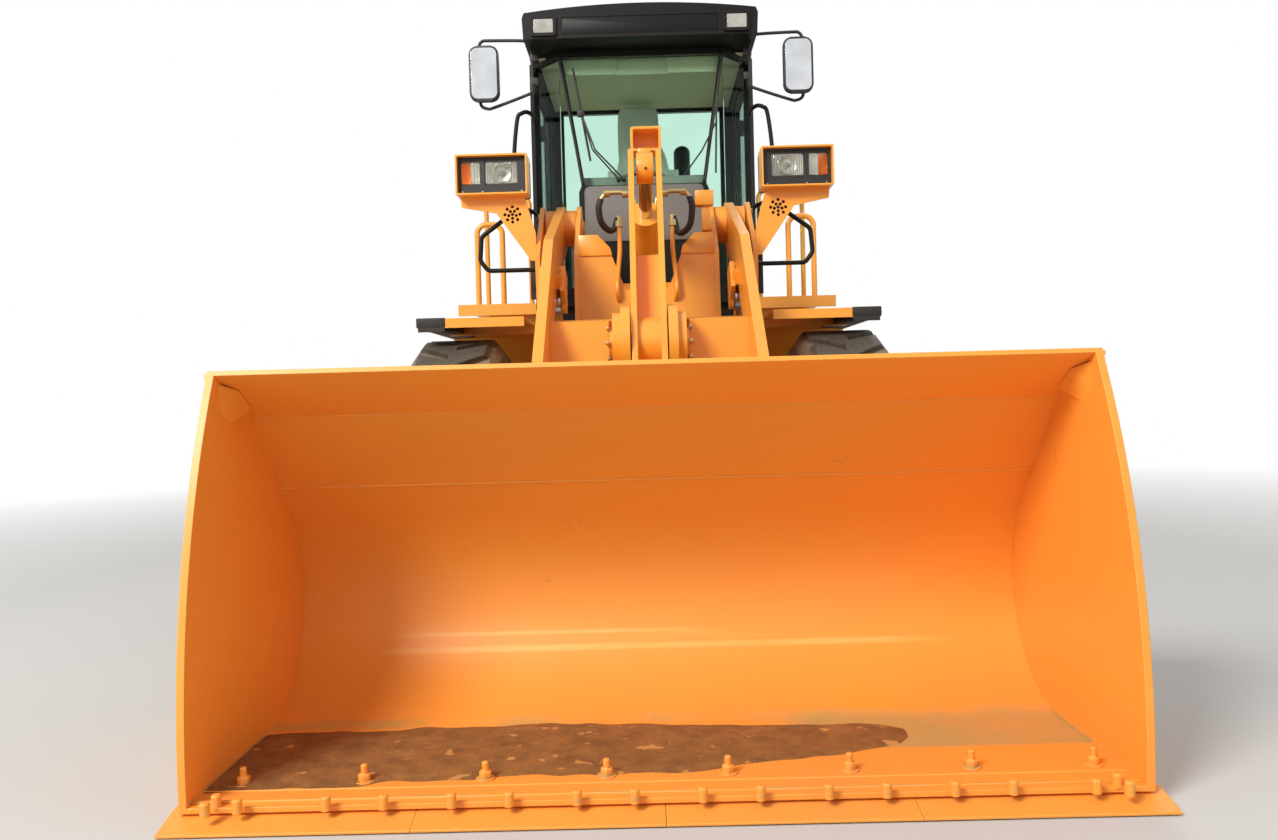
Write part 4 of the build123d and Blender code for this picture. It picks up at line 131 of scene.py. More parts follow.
def plus(tree, a, b, clamp=False):
    return math_of(tree, "ADD", a, b, clamp)


def spread(tree, value, low, high, to_low=0.0, to_high=1.0):
    """Stretches a value from one range to another, and holds it there."""
    limits = {"Value": value, "From Min": low, "From Max": high, "To Min": to_low, "To Max": to_high}
    return put(tree, "MapRange", limits).outputs[0]


def mix_colour(tree, factor, a, b, blend="MIX"):
    return put(tree, "Mix", {"Factor": factor, 6: a, 7: b}, data_type="RGBA", blend_type=blend).outputs[2]


def noise(tree, place, scale, detail=3.0, roughness=0.55):
    settings = {"Vector": place, "Scale": scale, "Detail": detail, "Roughness": roughness}
    return put(tree, "TexNoise", settings).outputs[0]


def rgb(value):
    """A colour written as it looks on screen, turned into the linear values that shaders use."""
    return tuple(((c / 12.92) if c <= 0.04045 else ((c + 0.055) / 1.055) ** 2.4) for c in value) + (1.0,)


def new_group(name, inputs, outputs):
    """A shader node group with named sockets: returns the tree, its inputs and its output node."""
    tree = bpy.data.node_groups.new(name, "ShaderNodeTree")
    for label, value in inputs.items():
        kind = "Color" if isinstance(value, tuple) else "Float"
        socket = tree.interface.new_socket(name=label, in_out="INPUT", socket_type="NodeSocket" + kind)
        socket.default_value = value
    for label, kind in outputs.items():
        tree.interface.new_socket(name=label, in_out="OUTPUT", socket_type="NodeSocket" + kind)
    return tree, tree.nodes.new("NodeGroupInput").outputs, tree.nodes.new("NodeGroupOutput")


def use(tree, group, **inputs):
    """Places a node group. An underscore in a keyword stands for a blank in the socket's name."""
    new = tree.nodes.new("ShaderNodeGroup")
    new.node_tree = group
    return fill(tree, new, {key.replace("_", " "): value for key, value in inputs.items()}).outputs


def new_material(name):
    """An empty material with its Principled shader."""
    material = bpy.data.materials.new(name)
    material.use_nodes = True
    tree = material.node_tree
    return material, tree, tree.nodes["Principled BSDF"]


def own_place(tree):
    """A point's place in the piece's own coordinates, which are the machine's at rest."""
    return put(tree, "TexCoord").outputs["Object"]


def bars(tree, place, scale, direction, **more):
    waves = {"Vector": place, "Scale": scale, **more}
    return put(tree, "TexWave", waves, wave_type="BANDS", bands_direction=direction).outputs["Fac"]


def bump(tree, height, distance, strength=1.0):
    return put(tree, "Bump", {"Height": height, "Distance": distance, "Strength": strength}).outputs[0]


def blend_shaders(tree, factor, first, second):
    """Mixes two shaders and wires the result to the material's output."""
    blend = put(tree, "MixShader", {0: factor, 1: first.outputs[0], 2: second.outputs[0]})
    tree.links.new(blend.outputs[0], tree.nodes["Material Output"].inputs["Surface"])


print("shader helpers ready")

# %% [markdown]
# ## Shared effects
# Yard dust lies on what faces up and gathers low on the machine, where the wheels throw it. The dust effect
# mixes it over any paint and reports how rough the surface becomes. It reads the piece's own coordinates
# and its own surface direction, so it stays put when the boom is raised.

# %% Dust effect
dust_group, given, result = new_group(
    "yard dust",
    {"Paint": (0.8, 0.3, 0.05, 1), "Dust": rgb((0.62, 0.52, 0.42)), "Amount": 0.3, "Patch Size": 1.5,
     "Clean Roughness": 0.35, "Low Height": 0.9},
    {"Colour": "Color", "Roughness": "Float", "Relief": "Float"},
)
spot = put(dust_group, "TexCoord")
place = spot.outputs["Object"]
patches = noise(dust_group, place, given["Patch Size"], 5.0, 0.6)
grain = noise(dust_group, place, 90.0, 2.0, 0.6)
facing = put(dust_group, "SeparateXYZ", {0: spot.outputs["Normal"]}).outputs[2]
height = put(dust_group, "SeparateXYZ", {0: place}).outputs[2]
upward = spread(dust_group, facing, 0.35, 0.95)
lowness = spread(dust_group, height, given["Low Height"], 0.1)
cover = plus(dust_group, times(dust_group, upward, 0.9), times(dust_group, lowness, 0.8))
cover = plus(dust_group, cover, 0.16)
broken = times(dust_group, cover, spread(dust_group, patches, 0.34, 0.66, 0.25, 1.15))
broken = times(dust_group, broken, spread(dust_group, grain, 0.3, 0.7, 0.75, 1.2))
mask = times(dust_group, broken, given["Amount"], clamp=True)
warm_tint = (1, 0.8, 0.55, 1)
warmth = spread(dust_group, patches, 0.3, 0.7, 0.0, 0.16)
uneven = mix_colour(dust_group, warmth, given["Paint"], warm_tint, "MULTIPLY")
coloured = mix_colour(dust_group, mask, uneven, given["Dust"])
rough = plus(dust_group, given["Clean Roughness"], times(dust_group, mask, 0.6), clamp=True)
fill(dust_group, result, {"Colour": coloured, "Roughness": rough, "Relief": grain})
print("group:", dust_group.name)

# %% [markdown]
# A plate's cut edge is never a knife's edge: the paint rounds it off by a millimetre or two, and it catches
# the light. The Bevel node bends the surface direction near an edge. Comparing it with the true direction
# gives a mask of the edges too, which makes them a shade paler, as thin or rubbed paint is.

# %% Rounded edge effect
edge_group, given, result = new_group(
    "painted edges",
    {"Colour": (0.8, 0.3, 0.05, 1), "Rubbed": (1, 0.7, 0.3, 1), "Radius": 0.003, "Strength": 0.5,
     "Relief": 0.0, "Depth": 0.0004},
    {"Colour": "Color", "Normal": "Vector"},
)
rounded = put(edge_group, "Bevel", {"Radius": given["Radius"]}, samples=4).outputs[0]
true_normal = put(edge_group, "NewGeometry").outputs["Normal"]
both = {0: rounded, 1: true_normal}
agreement = put(edge_group, "VectorMath", both, operation="DOT_PRODUCT").outputs["Value"]
edge = spread(edge_group, agreement, 0.995, 0.8)
edge_mask = times(edge_group, edge, given["Strength"], clamp=True)
edged = mix_colour(edge_group, edge_mask, given["Colour"], given["Rubbed"])
relief = {"Height": given["Relief"], "Distance": given["Depth"], "Normal": rounded, "Strength": 0.6}
bumped = put(edge_group, "Bump", relief).outputs[0]
fill(edge_group, result, {"Colour": edged, "Normal": bumped})
print("group:", edge_group.name)

# %% [markdown]
# ## Paint
# Nearly everything is sprayed in one warm orange over steel plate. Each coat gets the same two effects with
# its own values: the boom is cleaner than the axles, and the black paint of the cab is nearly clean.

# %% Paint finishes
yard_dust = (0.62, 0.5, 0.38)


def painted(
    name, colour, rubbed, dust=0.3, patch=1.5, roughness=0.32, coat=0.25, edge=0.5, radius=0.003, low=0.9,
    depth=0.0003, specular=0.5,
):
    material, tree, shader = new_material(name)
    dusty = use(
        tree, dust_group, Paint=rgb(colour), Dust=rgb(yard_dust), Amount=dust, Patch_Size=patch,
        Clean_Roughness=roughness, Low_Height=low,
    )
    edges = use(
        tree, edge_group, Colour=dusty["Colour"], Rubbed=rgb(rubbed), Radius=radius, Strength=edge,
        Relief=dusty["Relief"], Depth=depth,
    )
    fill(tree, shader, {
        "Base Color": edges["Colour"], "Roughness": dusty["Roughness"], "Normal": edges["Normal"],
        "Coat Weight": coat, "Coat Roughness": 0.15, "Specular IOR Level": specular,
    })
    return material


orange_tone = (0.97, 0.65, 0.205)
pale_orange = (1.0, 0.79, 0.34)
finish = {
    "orange": painted("orange paint", orange_tone, pale_orange, dust=0.16, roughness=0.34, coat=0.3),
    "frame_orange": painted(
        "dusty orange paint", (0.87, 0.57, 0.2), (0.92, 0.7, 0.34), dust=0.55, patch=3.0, roughness=0.5,
        coat=0.0, low=1.2,
    ),
    "black_paint": painted(
        "black paint", (0.05, 0.05, 0.045), (0.14, 0.14, 0.13), dust=0.04, patch=2.2, roughness=0.45,
        coat=0.0, edge=0.3, specular=0.22,
    ),
    "engine_grey": painted(
        "engine paint", (0.34, 0.35, 0.36), (0.5, 0.5, 0.5), dust=0.5, patch=5.0, roughness=0.55, coat=0.0,
    ),
    "black_plastic": painted(
        "moulded black plastic", (0.1, 0.1, 0.1), (0.16, 0.16, 0.16), dust=0.12, patch=4.0, roughness=0.5,
        coat=0.0, edge=0.3, radius=0.002, depth=0.0006,
    ),
    "grey_plastic": painted(
        "moulded grey plastic", (0.44, 0.425, 0.41), (0.52, 0.5, 0.48), dust=0.15, patch=4.0, roughness=0.6,
        coat=0.0, edge=0.3, radius=0.004, depth=0.0008,
    ),
    "rubber": painted(
        "black rubber", (0.09, 0.09, 0.09), (0.2, 0.19, 0.18), dust=0.3, patch=6.0, roughness=0.65, coat=0.0,
        edge=0.3, radius=0.002, depth=0.0008,
    ),
}
print("paints:", ", ".join(finish))

# %% [markdown]
# ## Floor and light
# The machine stands on a plain pale floor in soft light: a large lamp high on the left stands for the hazy
# sun, a second fills the right, a third lights the rear edges, and a pale world does the rest. What the
# camera sees of the floor and the world is white, through Light Path, and the floor keeps the shadow.

# %% Floor and light
floor_fade_from, floor_fade_to = 3.6, 9.5


def stage_material():
    """A pale floor that keeps the shadow, and turns white a few metres behind the machine."""
    material, tree, shader = new_material("studio floor")
    fill(tree, shader, {"Base Color": (0.55, 0.55, 0.54, 1), "Roughness": 0.9, "Specular IOR Level": 0.1})
    flat = put(tree, "VectorMath", {0: own_place(tree), 1: (1, 1, 0)}, operation="MULTIPLY").outputs[0]
    away = put(tree, "VectorMath", {0: flat}, operation="LENGTH").outputs["Value"]
    seen = put(tree, "LightPath").outputs["Is Camera Ray"]
    white = times(tree, seen, spread(tree, away, floor_fade_from, floor_fade_to))
    glow = put(tree, "Emission", {"Color": (1, 1, 1, 1), "Strength": 1.0})
    blend_shaders(tree, white, shader, glow)
    return material


floor_mesh = bpy.data.meshes.new("floor")
floor_mesh.from_pydata([(-40, -40, 0), (40, -40, 0), (40, 60, 0), (-40, 60, 0)], [], [(0, 1, 2, 3)])
floor = bpy.data.objects.new("floor", floor_mesh)
floor.data.materials.append(stage_material())
bpy.context.scene.collection.objects.link(floor)

world = bpy.data.worlds.new("studio")
bpy.context.scene.world = world
world.use_nodes = True
tree = world.node_tree
seen = put(tree, "LightPath")
indirect = math_of(tree, "MAXIMUM", seen.outputs["Is Glossy Ray"], seen.outputs["Is Transmission Ray"])
shown = math_of(tree, "MAXIMUM", seen.outputs["Is Camera Ray"], indirect)
sky = {"Color": (1, 1, 1, 1), "Strength": spread(tree, shown, 0.0, 1.0, 0.52, 1.0)}
fill(tree, tree.nodes["Background"], sky)


def lamp(name, place, target, size, watts, colour=(1, 1, 1)):
    data = bpy.data.lights.new(name, "AREA")
    data.shape = "DISK"
    data.size = size
    data.energy = watts
    data.color = colour
    light = bpy.data.objects.new(name, data)
    light.location = place
    light.rotation_euler = (Vector(target) - Vector(place)).to_track_quat("-Z", "Y").to_euler()
    bpy.context.scene.collection.objects.link(light)


lamp("key lamp", (-6.5, -10.5, 8.5), (0, -1.5, 0.8), 4.5, 1650, (1.0, 0.97, 0.92))
lamp("fill lamp", (9.0, -6.0, 6.0), (0, 0, 1.2), 6.0, 90, (0.95, 0.98, 1.0))
lamp("rear lamp", (3.0, 11.0, 9.0), (0, 1.0, 1.5), 6.0, 700)
print("floor and three lamps")

# %% [markdown]
# ## The bucket's paint
# The bucket is new but has been scraped clean once: its back has long pale streaks and two thin scrapes,
# the floor is greyed where water stood, and a thin layer of soil hides the left of it. The streaks are
# noise stretched along X, in a band across the lower roll that is also a painted highlight, paler where
# the roll faces up to the light. The scrapes and the grey floor are masked by height and by distance along
# the bucket.

# %% Bucket paint
material, tree, shader = new_material("bucket paint")
place = own_place(tree)
along = put(tree, "SeparateXYZ", {0: place}).outputs
dusty = use(
    tree, dust_group, Paint=rgb((0.96, 0.62, 0.23)), Dust=rgb((0.75, 0.52, 0.3)), Amount=0.14, Patch_Size=1.1,
    Clean_Roughness=0.44, Low_Height=0.2,
)
# Pale streaks and a painted highlight: the lower roll, where it faces up, is lightened a little all along the
# band and more along the streaks
stretched = put(tree, "Mapping", {"Vector": place, "Scale": (0.45, 5.0, 9.0)}).outputs[0]
streaks = spread(tree, noise(tree, stretched, 2.4, 4.0, 0.62), 0.56, 0.72)
band = times(tree, spread(tree, along[2], 0.17, 0.27), spread(tree, along[2], 0.47, 0.33))
shine = times(tree, band, plus(tree, times(tree, streaks, 0.35), 0.06))
streaked_and_highlit = mix_colour(tree, shine, dusty["Colour"], rgb((0.97, 0.7, 0.33)))
# Two thin pale scrapes run along the foot of the back
ragged = noise(tree, place, 3.2, 4.0, 0.6)
for scrape_z, half, left, right in ((0.222, 0.012, -0.95, 1.0), (0.268, 0.008, -0.9, 0.2)):
    off = math_of(tree, "ABSOLUTE", math_of(tree, "SUBTRACT", along[2], scrape_z), 0.0)
    length = times(
        tree, spread(tree, along[0], left, left + 0.12), spread(tree, along[0], right, right - 0.25),
    )
    line = times(tree, spread(tree, off, half, half * 0.4), length)
    line = times(tree, line, spread(tree, ragged, 0.3, 0.55, 0.2, 0.6))
    streaked_and_highlit = mix_colour(tree, line, streaked_and_highlit, rgb((0.97, 0.76, 0.42)))
# Standing water has greyed the floor's right half, with a soft ragged border
edge_x = plus(tree, along[0], times(tree, ragged, 0.5))
right_half = spread(tree, edge_x, 0.5, 0.75)
floor_only = times(tree, spread(tree, along[2], 0.062, 0.05), spread(tree, along[1], -3.2, -3.18))
floor_only = times(tree, floor_only, spread(tree, along[2], 0.036, 0.044))
stain = times(tree, times(tree, right_half, floor_only), spread(tree, ragged, 0.35, 0.6, 0.75, 0.95))
greyed = mix_colour(tree, stain, streaked_and_highlit, rgb((0.68, 0.6, 0.38)))
tide = times(tree, spread(tree, along[2], 0.05, 0.052), spread(tree, along[2], 0.066, 0.058))
tide = times(tree, tide, spread(tree, ragged, 0.42, 0.58, 0.0, 0.6))
tided = mix_colour(tree, tide, greyed, rgb((0.7, 0.62, 0.38)))
# Faint dark scuffs where something was dragged out
askew = {"Vector": place, "Rotation": (0.4, 0.2, 0.6), "Scale": (1.2, 3.0, 1.5)}
scuff_place = put(tree, "Mapping", askew).outputs[0]
scuffs = spread(tree, noise(tree, scuff_place, 5.0, 6.0, 0.72), 0.67, 0.74)
scuffed = mix_colour(tree, times(tree, scuffs, 0.3), tided, rgb((0.5, 0.36, 0.24)))
edges = use(
    tree, edge_group, Colour=scuffed, Rubbed=rgb((1.0, 0.78, 0.4)), Radius=0.004, Strength=0.75,
    Relief=dusty["Relief"], Depth=0.0003,
)
fill(tree, shader, {
    "Base Color": edges["Colour"], "Roughness": dusty["Roughness"], "Normal": edges["Normal"],
    "Coat Weight": 0.08, "Coat Roughness": 0.25,
})
finish["bucket_orange"] = material
print("bucket paint:", len(tree.nodes), "shader nodes")

# %% [markdown]
# ## Metals
# Cylinder rods are hard chrome, ground round, so their finest scratches run around them. Pins and
# zinc-plated fittings are duller, and the fittings have the yellow bloom of chromate.

# %% Metals
def metal(name, colour, roughness, grain_scale=60.0, variation=0.12, tint=None):
    material, tree, shader = new_material(name)
    place = own_place(tree)
    coarse = noise(tree, place, 6.0, 4.0, 0.6)
    fine = noise(tree, place, grain_scale, 3.0, 0.6)
    darker = rgb(tint or tuple(c * 0.8 for c in colour))
    base = mix_colour(tree, spread(tree, coarse, 0.35, 0.65, 0.0, 0.5), rgb(colour), darker)
    rough = spread(tree, fine, 0.3, 0.7, roughness - variation / 2, roughness + variation)
    rounded = use(tree, edge_group, Radius=0.0015, Relief=fine, Depth=0.0001)["Normal"]
    fill(tree, shader, {"Base Color": base, "Roughness": rough, "Normal": rounded, "Metallic": 1.0})
    return material


finish["rod_chrome"] = metal("chromed rod", (0.86, 0.86, 0.88), 0.14, 140.0, 0.06)
finish["worn_steel"] = metal("worn steel", (0.62, 0.55, 0.48), 0.42, 40.0, 0.2, (0.46, 0.34, 0.24))
finish["zinc"] = metal("yellow zinc", (0.78, 0.7, 0.5), 0.35, 70.0, 0.15, (0.6, 0.5, 0.3))
finish["reflector"] = metal("lamp reflector", (0.8, 0.79, 0.75), 0.16, 20.0, 0.05, (0.42, 0.36, 0.3))
finish["mirror_face"] = metal("mirror face", (0.9, 0.91, 0.92), 0.04, 10.0, 0.02)
print("metals:", ", ".join(list(finish)[-5:]))

# %% [markdown]
# ## Tyres
# The rubber has picked up pale grey-brown dust: it fills the grooves between the lugs and is thin on the
# side wall. Both are told by the distance from the axle, so the axle's place is given to the finish.

# %% Tyre rubber
axle_z = 0.675


def tyre_finish(name, axle_y):
    material, tree, shader = new_material(name)
    place = own_place(tree)
    centred = put(tree, "VectorMath", {0: place, 1: (0, axle_y, axle_z)}, operation="SUBTRACT").outputs[0]
    flat = put(tree, "VectorMath", {0: centred, 1: (0, 1, 1)}, operation="MULTIPLY").outputs[0]
    radius = put(tree, "VectorMath", {0: flat}, operation="LENGTH").outputs["Value"]
    cloud = noise(tree, place, 5.0, 5.0, 0.65)
    speck = noise(tree, place, 55.0, 3.0, 0.6)
    groove = spread(tree, radius, 0.655, 0.64, 0.05, 0.75)
    side = times(tree, spread(tree, radius, 0.6, 0.59), 0.45)
    amount = plus(tree, times(tree, groove, spread(tree, cloud, 0.3, 0.6, 0.4, 1.0)), times(tree, side, -0.5))
    amount = plus(tree, amount, spread(tree, speck, 0.4, 0.75, 0.02, 0.22), clamp=True)
    colour = mix_colour(tree, amount, rgb((0.24, 0.225, 0.2)), rgb((0.62, 0.54, 0.44)))
    rough = spread(tree, amount, 0.0, 0.8, 0.6, 0.9)
    rounded = use(tree, edge_group, Radius=0.006, Relief=speck, Depth=0.0012)["Normal"]
    fill(tree, shader, {"Base Color": colour, "Roughness": rough, "Normal": rounded})
    return material


finish["tyre_front"] = tyre_finish("front tyre rubber", -0.945)
finish["tyre_rear"] = tyre_finish("rear tyre rubber", 1.925)
print("tyre finishes: 2, axles at height", axle_z)

# %% [markdown]
# ## Glass and lamps
# Cab glass is tinted green. Lamps reach what is behind it through a Transparent shader that only shadow
# rays see, because a renderer without caustics would otherwise leave the cab's inside black. The lamp
# lenses are clear with moulded prisms, which here are a bump of fine vertical bars, and the indicators are
# amber.

# %% Glass
def glazed(name, colour, shadow, roughness=0.02, ior=1.12, ribs=None):
    material, tree, shader = new_material(name)
    place = own_place(tree)
    film = noise(tree, place, 2.5, 4.0, 0.6)
    filmed = rgb(tuple(c * 0.93 for c in colour))
    tint = mix_colour(tree, spread(tree, film, 0.35, 0.7, 0.0, 0.35), rgb(colour), filmed)
    rough = spread(tree, film, 0.4, 0.75, roughness, roughness + 0.03)
    fill(tree, shader, {"Base Color": tint, "Roughness": rough, "Transmission Weight": 1.0, "IOR": ior})
    if ribs:
        fill(tree, shader, {"Normal": bump(tree, bars(tree, place, ribs, "X"), 0.002, 0.7)})
    clear = put(tree, "BsdfTransparent", {"Color": rgb(shadow)})
    blend_shaders(tree, put(tree, "LightPath").outputs["Is Shadow Ray"], shader, clear)
    return material


finish["cab_pane"] = glazed("tinted cab glass", (0.88, 0.97, 0.93), (0.9, 0.97, 0.94))
finish["clear_lens"] = glazed("clear lamp lens", (0.97, 0.97, 0.95), (0.95, 0.95, 0.95), ior=1.3, ribs=18.0)
marker_colours = {
    "amber": ((1.0, 0.7, 0.42), (1.0, 0.7, 0.35)), "red": ((0.85, 0.08, 0.05), (0.9, 0.2, 0.15)),
}
for colour, tones in marker_colours.items():
    finish[colour + "_lens"] = glazed(colour + " lamp lens", *tones, roughness=0.08, ior=1.3, ribs=30.0)
print("glass:", ", ".join(list(finish)[-4:]))

# %% [markdown]
# ## Seat cloth and soil
# The seat's cloth is a plain grey weave: two crossed waves give the threads. The soil in the bucket is
# dried mud, brown with paler flakes.

# %% Cloth and soil
material, tree, shader = new_material("seat cloth")
place = own_place(tree)
warp = bars(tree, place, 110.0, "X", Distortion=0.4, Detail=1.0)
weft = bars(tree, place, 110.0, "DIAGONAL", Distortion=0.4, Detail=1.0)
threads = times(tree, warp, weft)
mottle = noise(tree, place, 9.0, 4.0, 0.6)
rubbed = spread(tree, mottle, 0.35, 0.65, 0.0, 0.5)
worn = mix_colour(tree, rubbed, rgb((0.84, 0.84, 0.8)), rgb((0.74, 0.745, 0.71)))
cloth_colour = mix_colour(tree, times(tree, threads, 0.5), worn, rgb((0.9, 0.9, 0.87)))
woven = bump(tree, threads, 0.001, 0.5)
fill(tree, shader, {"Base Color": cloth_colour, "Normal": woven, "Roughness": 0.9, "Sheen Weight": 0.35})
finish["seat_cloth"] = material

material, tree, shader = new_material("dried soil")
place = own_place(tree)
lump = noise(tree, place, 14.0, 6.0, 0.7)
grit = noise(tree, place, 160.0, 3.0, 0.7)
flake = spread(tree, noise(tree, place, 16.0, 3.0, 0.5), 0.64, 0.68)
earth = mix_colour(tree, spread(tree, lump, 0.35, 0.65), rgb((0.46, 0.3, 0.13)), rgb((0.6, 0.4, 0.19)))
earth = mix_colour(tree, spread(tree, grit, 0.55, 0.8, 0.0, 0.5), earth, rgb((0.32, 0.22, 0.11)))
earth = mix_colour(tree, times(tree, flake, 0.6), earth, rgb((0.86, 0.62, 0.34)))
lumpy = plus(tree, lump, times(tree, grit, 0.35))
rough = spread(tree, grit, 0.2, 0.8, 0.8, 1.0)
fill(tree, shader, {"Base Color": earth, "Roughness": rough, "Normal": bump(tree, lumpy, 0.01, 0.8)})
finish["soil"] = material
print("finishes:", len(finish))

# %% [markdown]
# ## Paint the frame
# Each modelled node takes the finish that its slot names, with a few exceptions: the tyres need their own
# axle, the pins are painted over, and the cutting edge is painted like the bucket.

# %% Assign finishes
slot_of = {item["node"]: item["material_slot"] for item in frame["record"]["subparts"]}
own_finish = {"console": "grey_plastic", "cutting_edge": "bucket_orange", "bucket_pins": "frame_orange"}
own_finish.update({name: "orange" for name in ("crank_pin", "link_pin", "front_pins")})
for end in ("front", "rear"):
    own_finish.update({"tyre_" + end + hand: "tyre_" + end for hand in ("_left", "_right")})
for name, thing in nodes.items():
    thing.data.materials.clear()
    thing.data.materials.append(finish[own_finish.get(name, slot_of[name])])
print("painted nodes:", len(nodes))

# %% [markdown]
# ## Workshop helpers
# Small parts are made in mesh code. A helper lays a shape into a bmesh, several shapes share one mesh when
# the real ones are welded or bolted together, and a last helper turns the mesh into a piece that rides on
# its body. Pieces that repeat left and right are mirrored in X.

# %% Mesh helpers
hands = (("left", 1), ("right", -1))
facing_front = ((1, 0, 0), (0, 0, 1))
facing_side = ((0, 1, 0), (0, 0, 1))


def basis(direction):
    """Two directions square to the given one."""
    axis = Vector(direction).normalized()
    other = Vector((0, 1, 0)) if abs(axis.z) > 0.95 else Vector((0, 0, 1))
    first = other.cross(axis).normalized()
    return first, axis.cross(first)


def round_off(bm, edges, bevel):
    bmesh.ops.bevel(bm, geom=list(edges), offset=bevel, segments=2, profile=0.5, affect="EDGES")


def bridge(bm, a, b):
    """Faces between two rings of points. A ring of one point is the tip of a cone."""
    count = max(len(a), len(b))
    made = []
    for k in range(count if count > 1 else 0):
        n = (k + 1) % count
        corners = (a[k % len(a)], a[n % len(a)], b[n % len(b)], b[k % len(b)])
        made.append(bm.faces.new(tuple(dict.fromkeys(corners))))
    return made


def loft(bm, rings, closed=False):
    for a, b in zip(rings, rings[1:] + (rings[:1] if closed else [])):
        bridge(bm, a, b)


def block(bm, low, high, bevel=0.0):
    """A box between two corners, with its edges rounded by bevel."""
    low, high = Vector(low), Vector(high)
    made = bmesh.ops.create_cube(bm, size=1.0)["verts"]
    for v in made:
        v.co = Vector([low[i] + (v.co[i] + 0.5) * (high[i] - low[i]) for i in range(3)])
    if bevel:
        round_off(bm, {e for v in made for e in v.link_edges}, bevel)


def turned(bm, profile, origin, axis, sides=32, closed=False):
    """A turned part, from (distance along the axis, radius) points."""
    axis = Vector(axis).normalized()
    u, w = basis(axis)
    origin = Vector(origin)
    rings = []
    for along, radius in profile:
        centre = origin + axis * along
        if radius < 1e-6:
            rings.append([bm.verts.new(centre)])
            continue
        ring = []
        for k in range(sides):
            a = 2 * math.pi * k / sides
            ring.append(bm.verts.new(centre + (u * math.cos(a) + w * math.sin(a)) * radius))
        rings.append(ring)
    loft(bm, rings, closed)


def rounded_path(points, radius):
    """The same route with each corner replaced by an arc."""
    steps = 6
    points = [Vector(p) for p in points]
    route = [points[0]]
    for before, here, after in zip(points, points[1:], points[2:]):
        a, b = (before - here), (after - here)
        turn = math.pi - a.angle(b)
        if turn < 0.02:
            route.append(here)
            continue
        reach = min(radius * math.tan(turn / 2), 0.48 * a.length, 0.48 * b.length)
        start, end = here + a.normalized() * reach, here + b.normalized() * reach
        for k in range(steps + 1):
            t = k / steps
            route.append(start.lerp(here, t).lerp(here.lerp(end, t), t))
    route.append(points[-1])
    return route


def tube(bm, points, radius, bend=0.0, sides=14):
    """A round bar, hose or weld bead along a route."""
    route = rounded_path(points, bend) if bend else [Vector(p) for p in points]
    angles = [2 * math.pi * k / sides for k in range(sides)]
    u = None
    rings = []
    for k, here in enumerate(route):
        ahead = (route[min(k + 1, len(route) - 1)] - route[max(k - 1, 0)]).normalized()
        if u is None:
            u, w = basis(ahead)
        else:
            u = (u - ahead * u.dot(ahead)).normalized()
            w = ahead.cross(u)
        spokes = [u * (math.cos(a) * radius) + w * (math.sin(a) * radius) for a in angles]
        rings.append([bm.verts.new(here + spoke) for spoke in spokes])
    loft(bm, rings)
    bm.faces.new(list(reversed(rings[0])))
    bm.faces.new(rings[-1])


def prism(bm, outline, origin, across, upward, depth, bevel=0.0):
    """A flat outline, given as (across, up) points, made thick by depth along across x up."""
    origin, across, upward = Vector(origin), Vector(across), Vector(upward)
    out = across.cross(upward).normalized() * depth
    near = [bm.verts.new(origin + across * a + upward * b) for a, b in outline]
    far = [bm.verts.new(v.co + out) for v in near]
    faces = [bm.faces.new(list(reversed(near))), bm.faces.new(far)] + bridge(bm, near, far)
    if bevel:
        round_off(bm, {e for f in faces for e in f.edges}, bevel)


def rounded_outline(width, height, radius, steps=5):
    """The outline of a rectangle with rounded corners."""
    points = []
    for cx, cy, start in ((1, 1, 0), (-1, 1, 90), (-1, -1, 180), (1, -1, 270)):
        for k in range(steps + 1):
            a = math.radians(start + 90 * k / steps)
            x = cx * (width / 2 - radius) + radius * math.cos(a)
            y = cy * (height / 2 - radius) + radius * math.sin(a)
            points.append((x, y))
    return points


def plate(bm, width, height, radius, place, depth, bevel=0.0):
    """A rounded rectangle that faces the front, with its middle at a place."""
    prism(bm, rounded_outline(width, height, radius), place, *facing_front, depth, bevel)


def hexagon(size):
    reach = size / math.sqrt(3)
    angles = [math.radians(30 + 60 * k) for k in range(6)]
    return [(reach * math.cos(a), reach * math.sin(a)) for a in angles]


def bolt(bm, place, axis, size=0.024, stud=0.0, washer=0.0):
    """A nut or bolt head on a washer, with the stud's end standing out of it."""
    place, axis = Vector(place), Vector(axis).normalized()
    u, w = basis(axis)
    if washer:
        turned(bm, [(0, 0), (0, washer), (0.004, washer), (0.004, 0)], place, axis, 20)
        place = place + axis * 0.004
    prism(bm, hexagon(size), place, u, w, size * 0.62, size * 0.05)
    if stud:
        profile = [(0, size * 0.3), (stud - 0.003, size * 0.3), (stud, size * 0.24), (stud, 0)]
        turned(bm, profile, place + axis * size * 0.5, axis, 12)


def bolt_circle(bm, centre, side, ring, count, size, start=0.0, **settings):
    """Bolts in a circle on a face that looks along X."""
    for k in range(count):
        a = start + 2 * math.pi * k / count
        place = (centre[0], centre[1] + ring * math.cos(a), centre[2] + ring * math.sin(a))
        bolt(bm, place, (side, 0, 0), size, **settings)


def mirror_mesh(bm):
    """Adds the same shapes on the machine's other side."""
    made = bmesh.ops.duplicate(bm, geom=list(bm.verts) + list(bm.edges) + list(bm.faces))["geom"]
    for v in made:
        if isinstance(v, bmesh.types.BMVert):
            v.co.x = -v.co.x
    bmesh.ops.reverse_faces(bm, faces=[f for f in made if isinstance(f, bmesh.types.BMFace)])


def made_of(bm, name, look, smooth=35.0, bevel=0.0):
    """Ends the mesh and gives it its finish."""
    bmesh.ops.recalc_face_normals(bm, faces=bm.faces)
    mesh = bpy.data.meshes.new(name)
    bm.to_mesh(mesh)
    bm.free()
    thing = bpy.data.objects.new(name, mesh)
    bpy.context.scene.collection.objects.link(thing)
    thing.data.materials.append(finish[look])
    if smooth:
        mesh.shade_smooth()
        mesh.set_sharp_from_angle(angle=math.radians(smooth))
    if bevel:
        rounding = thing.modifiers.new("rounding", "BEVEL")
        rounding.width = bevel
        rounding.segments = 2
        rounding.limit_method = "ANGLE"
    return thing


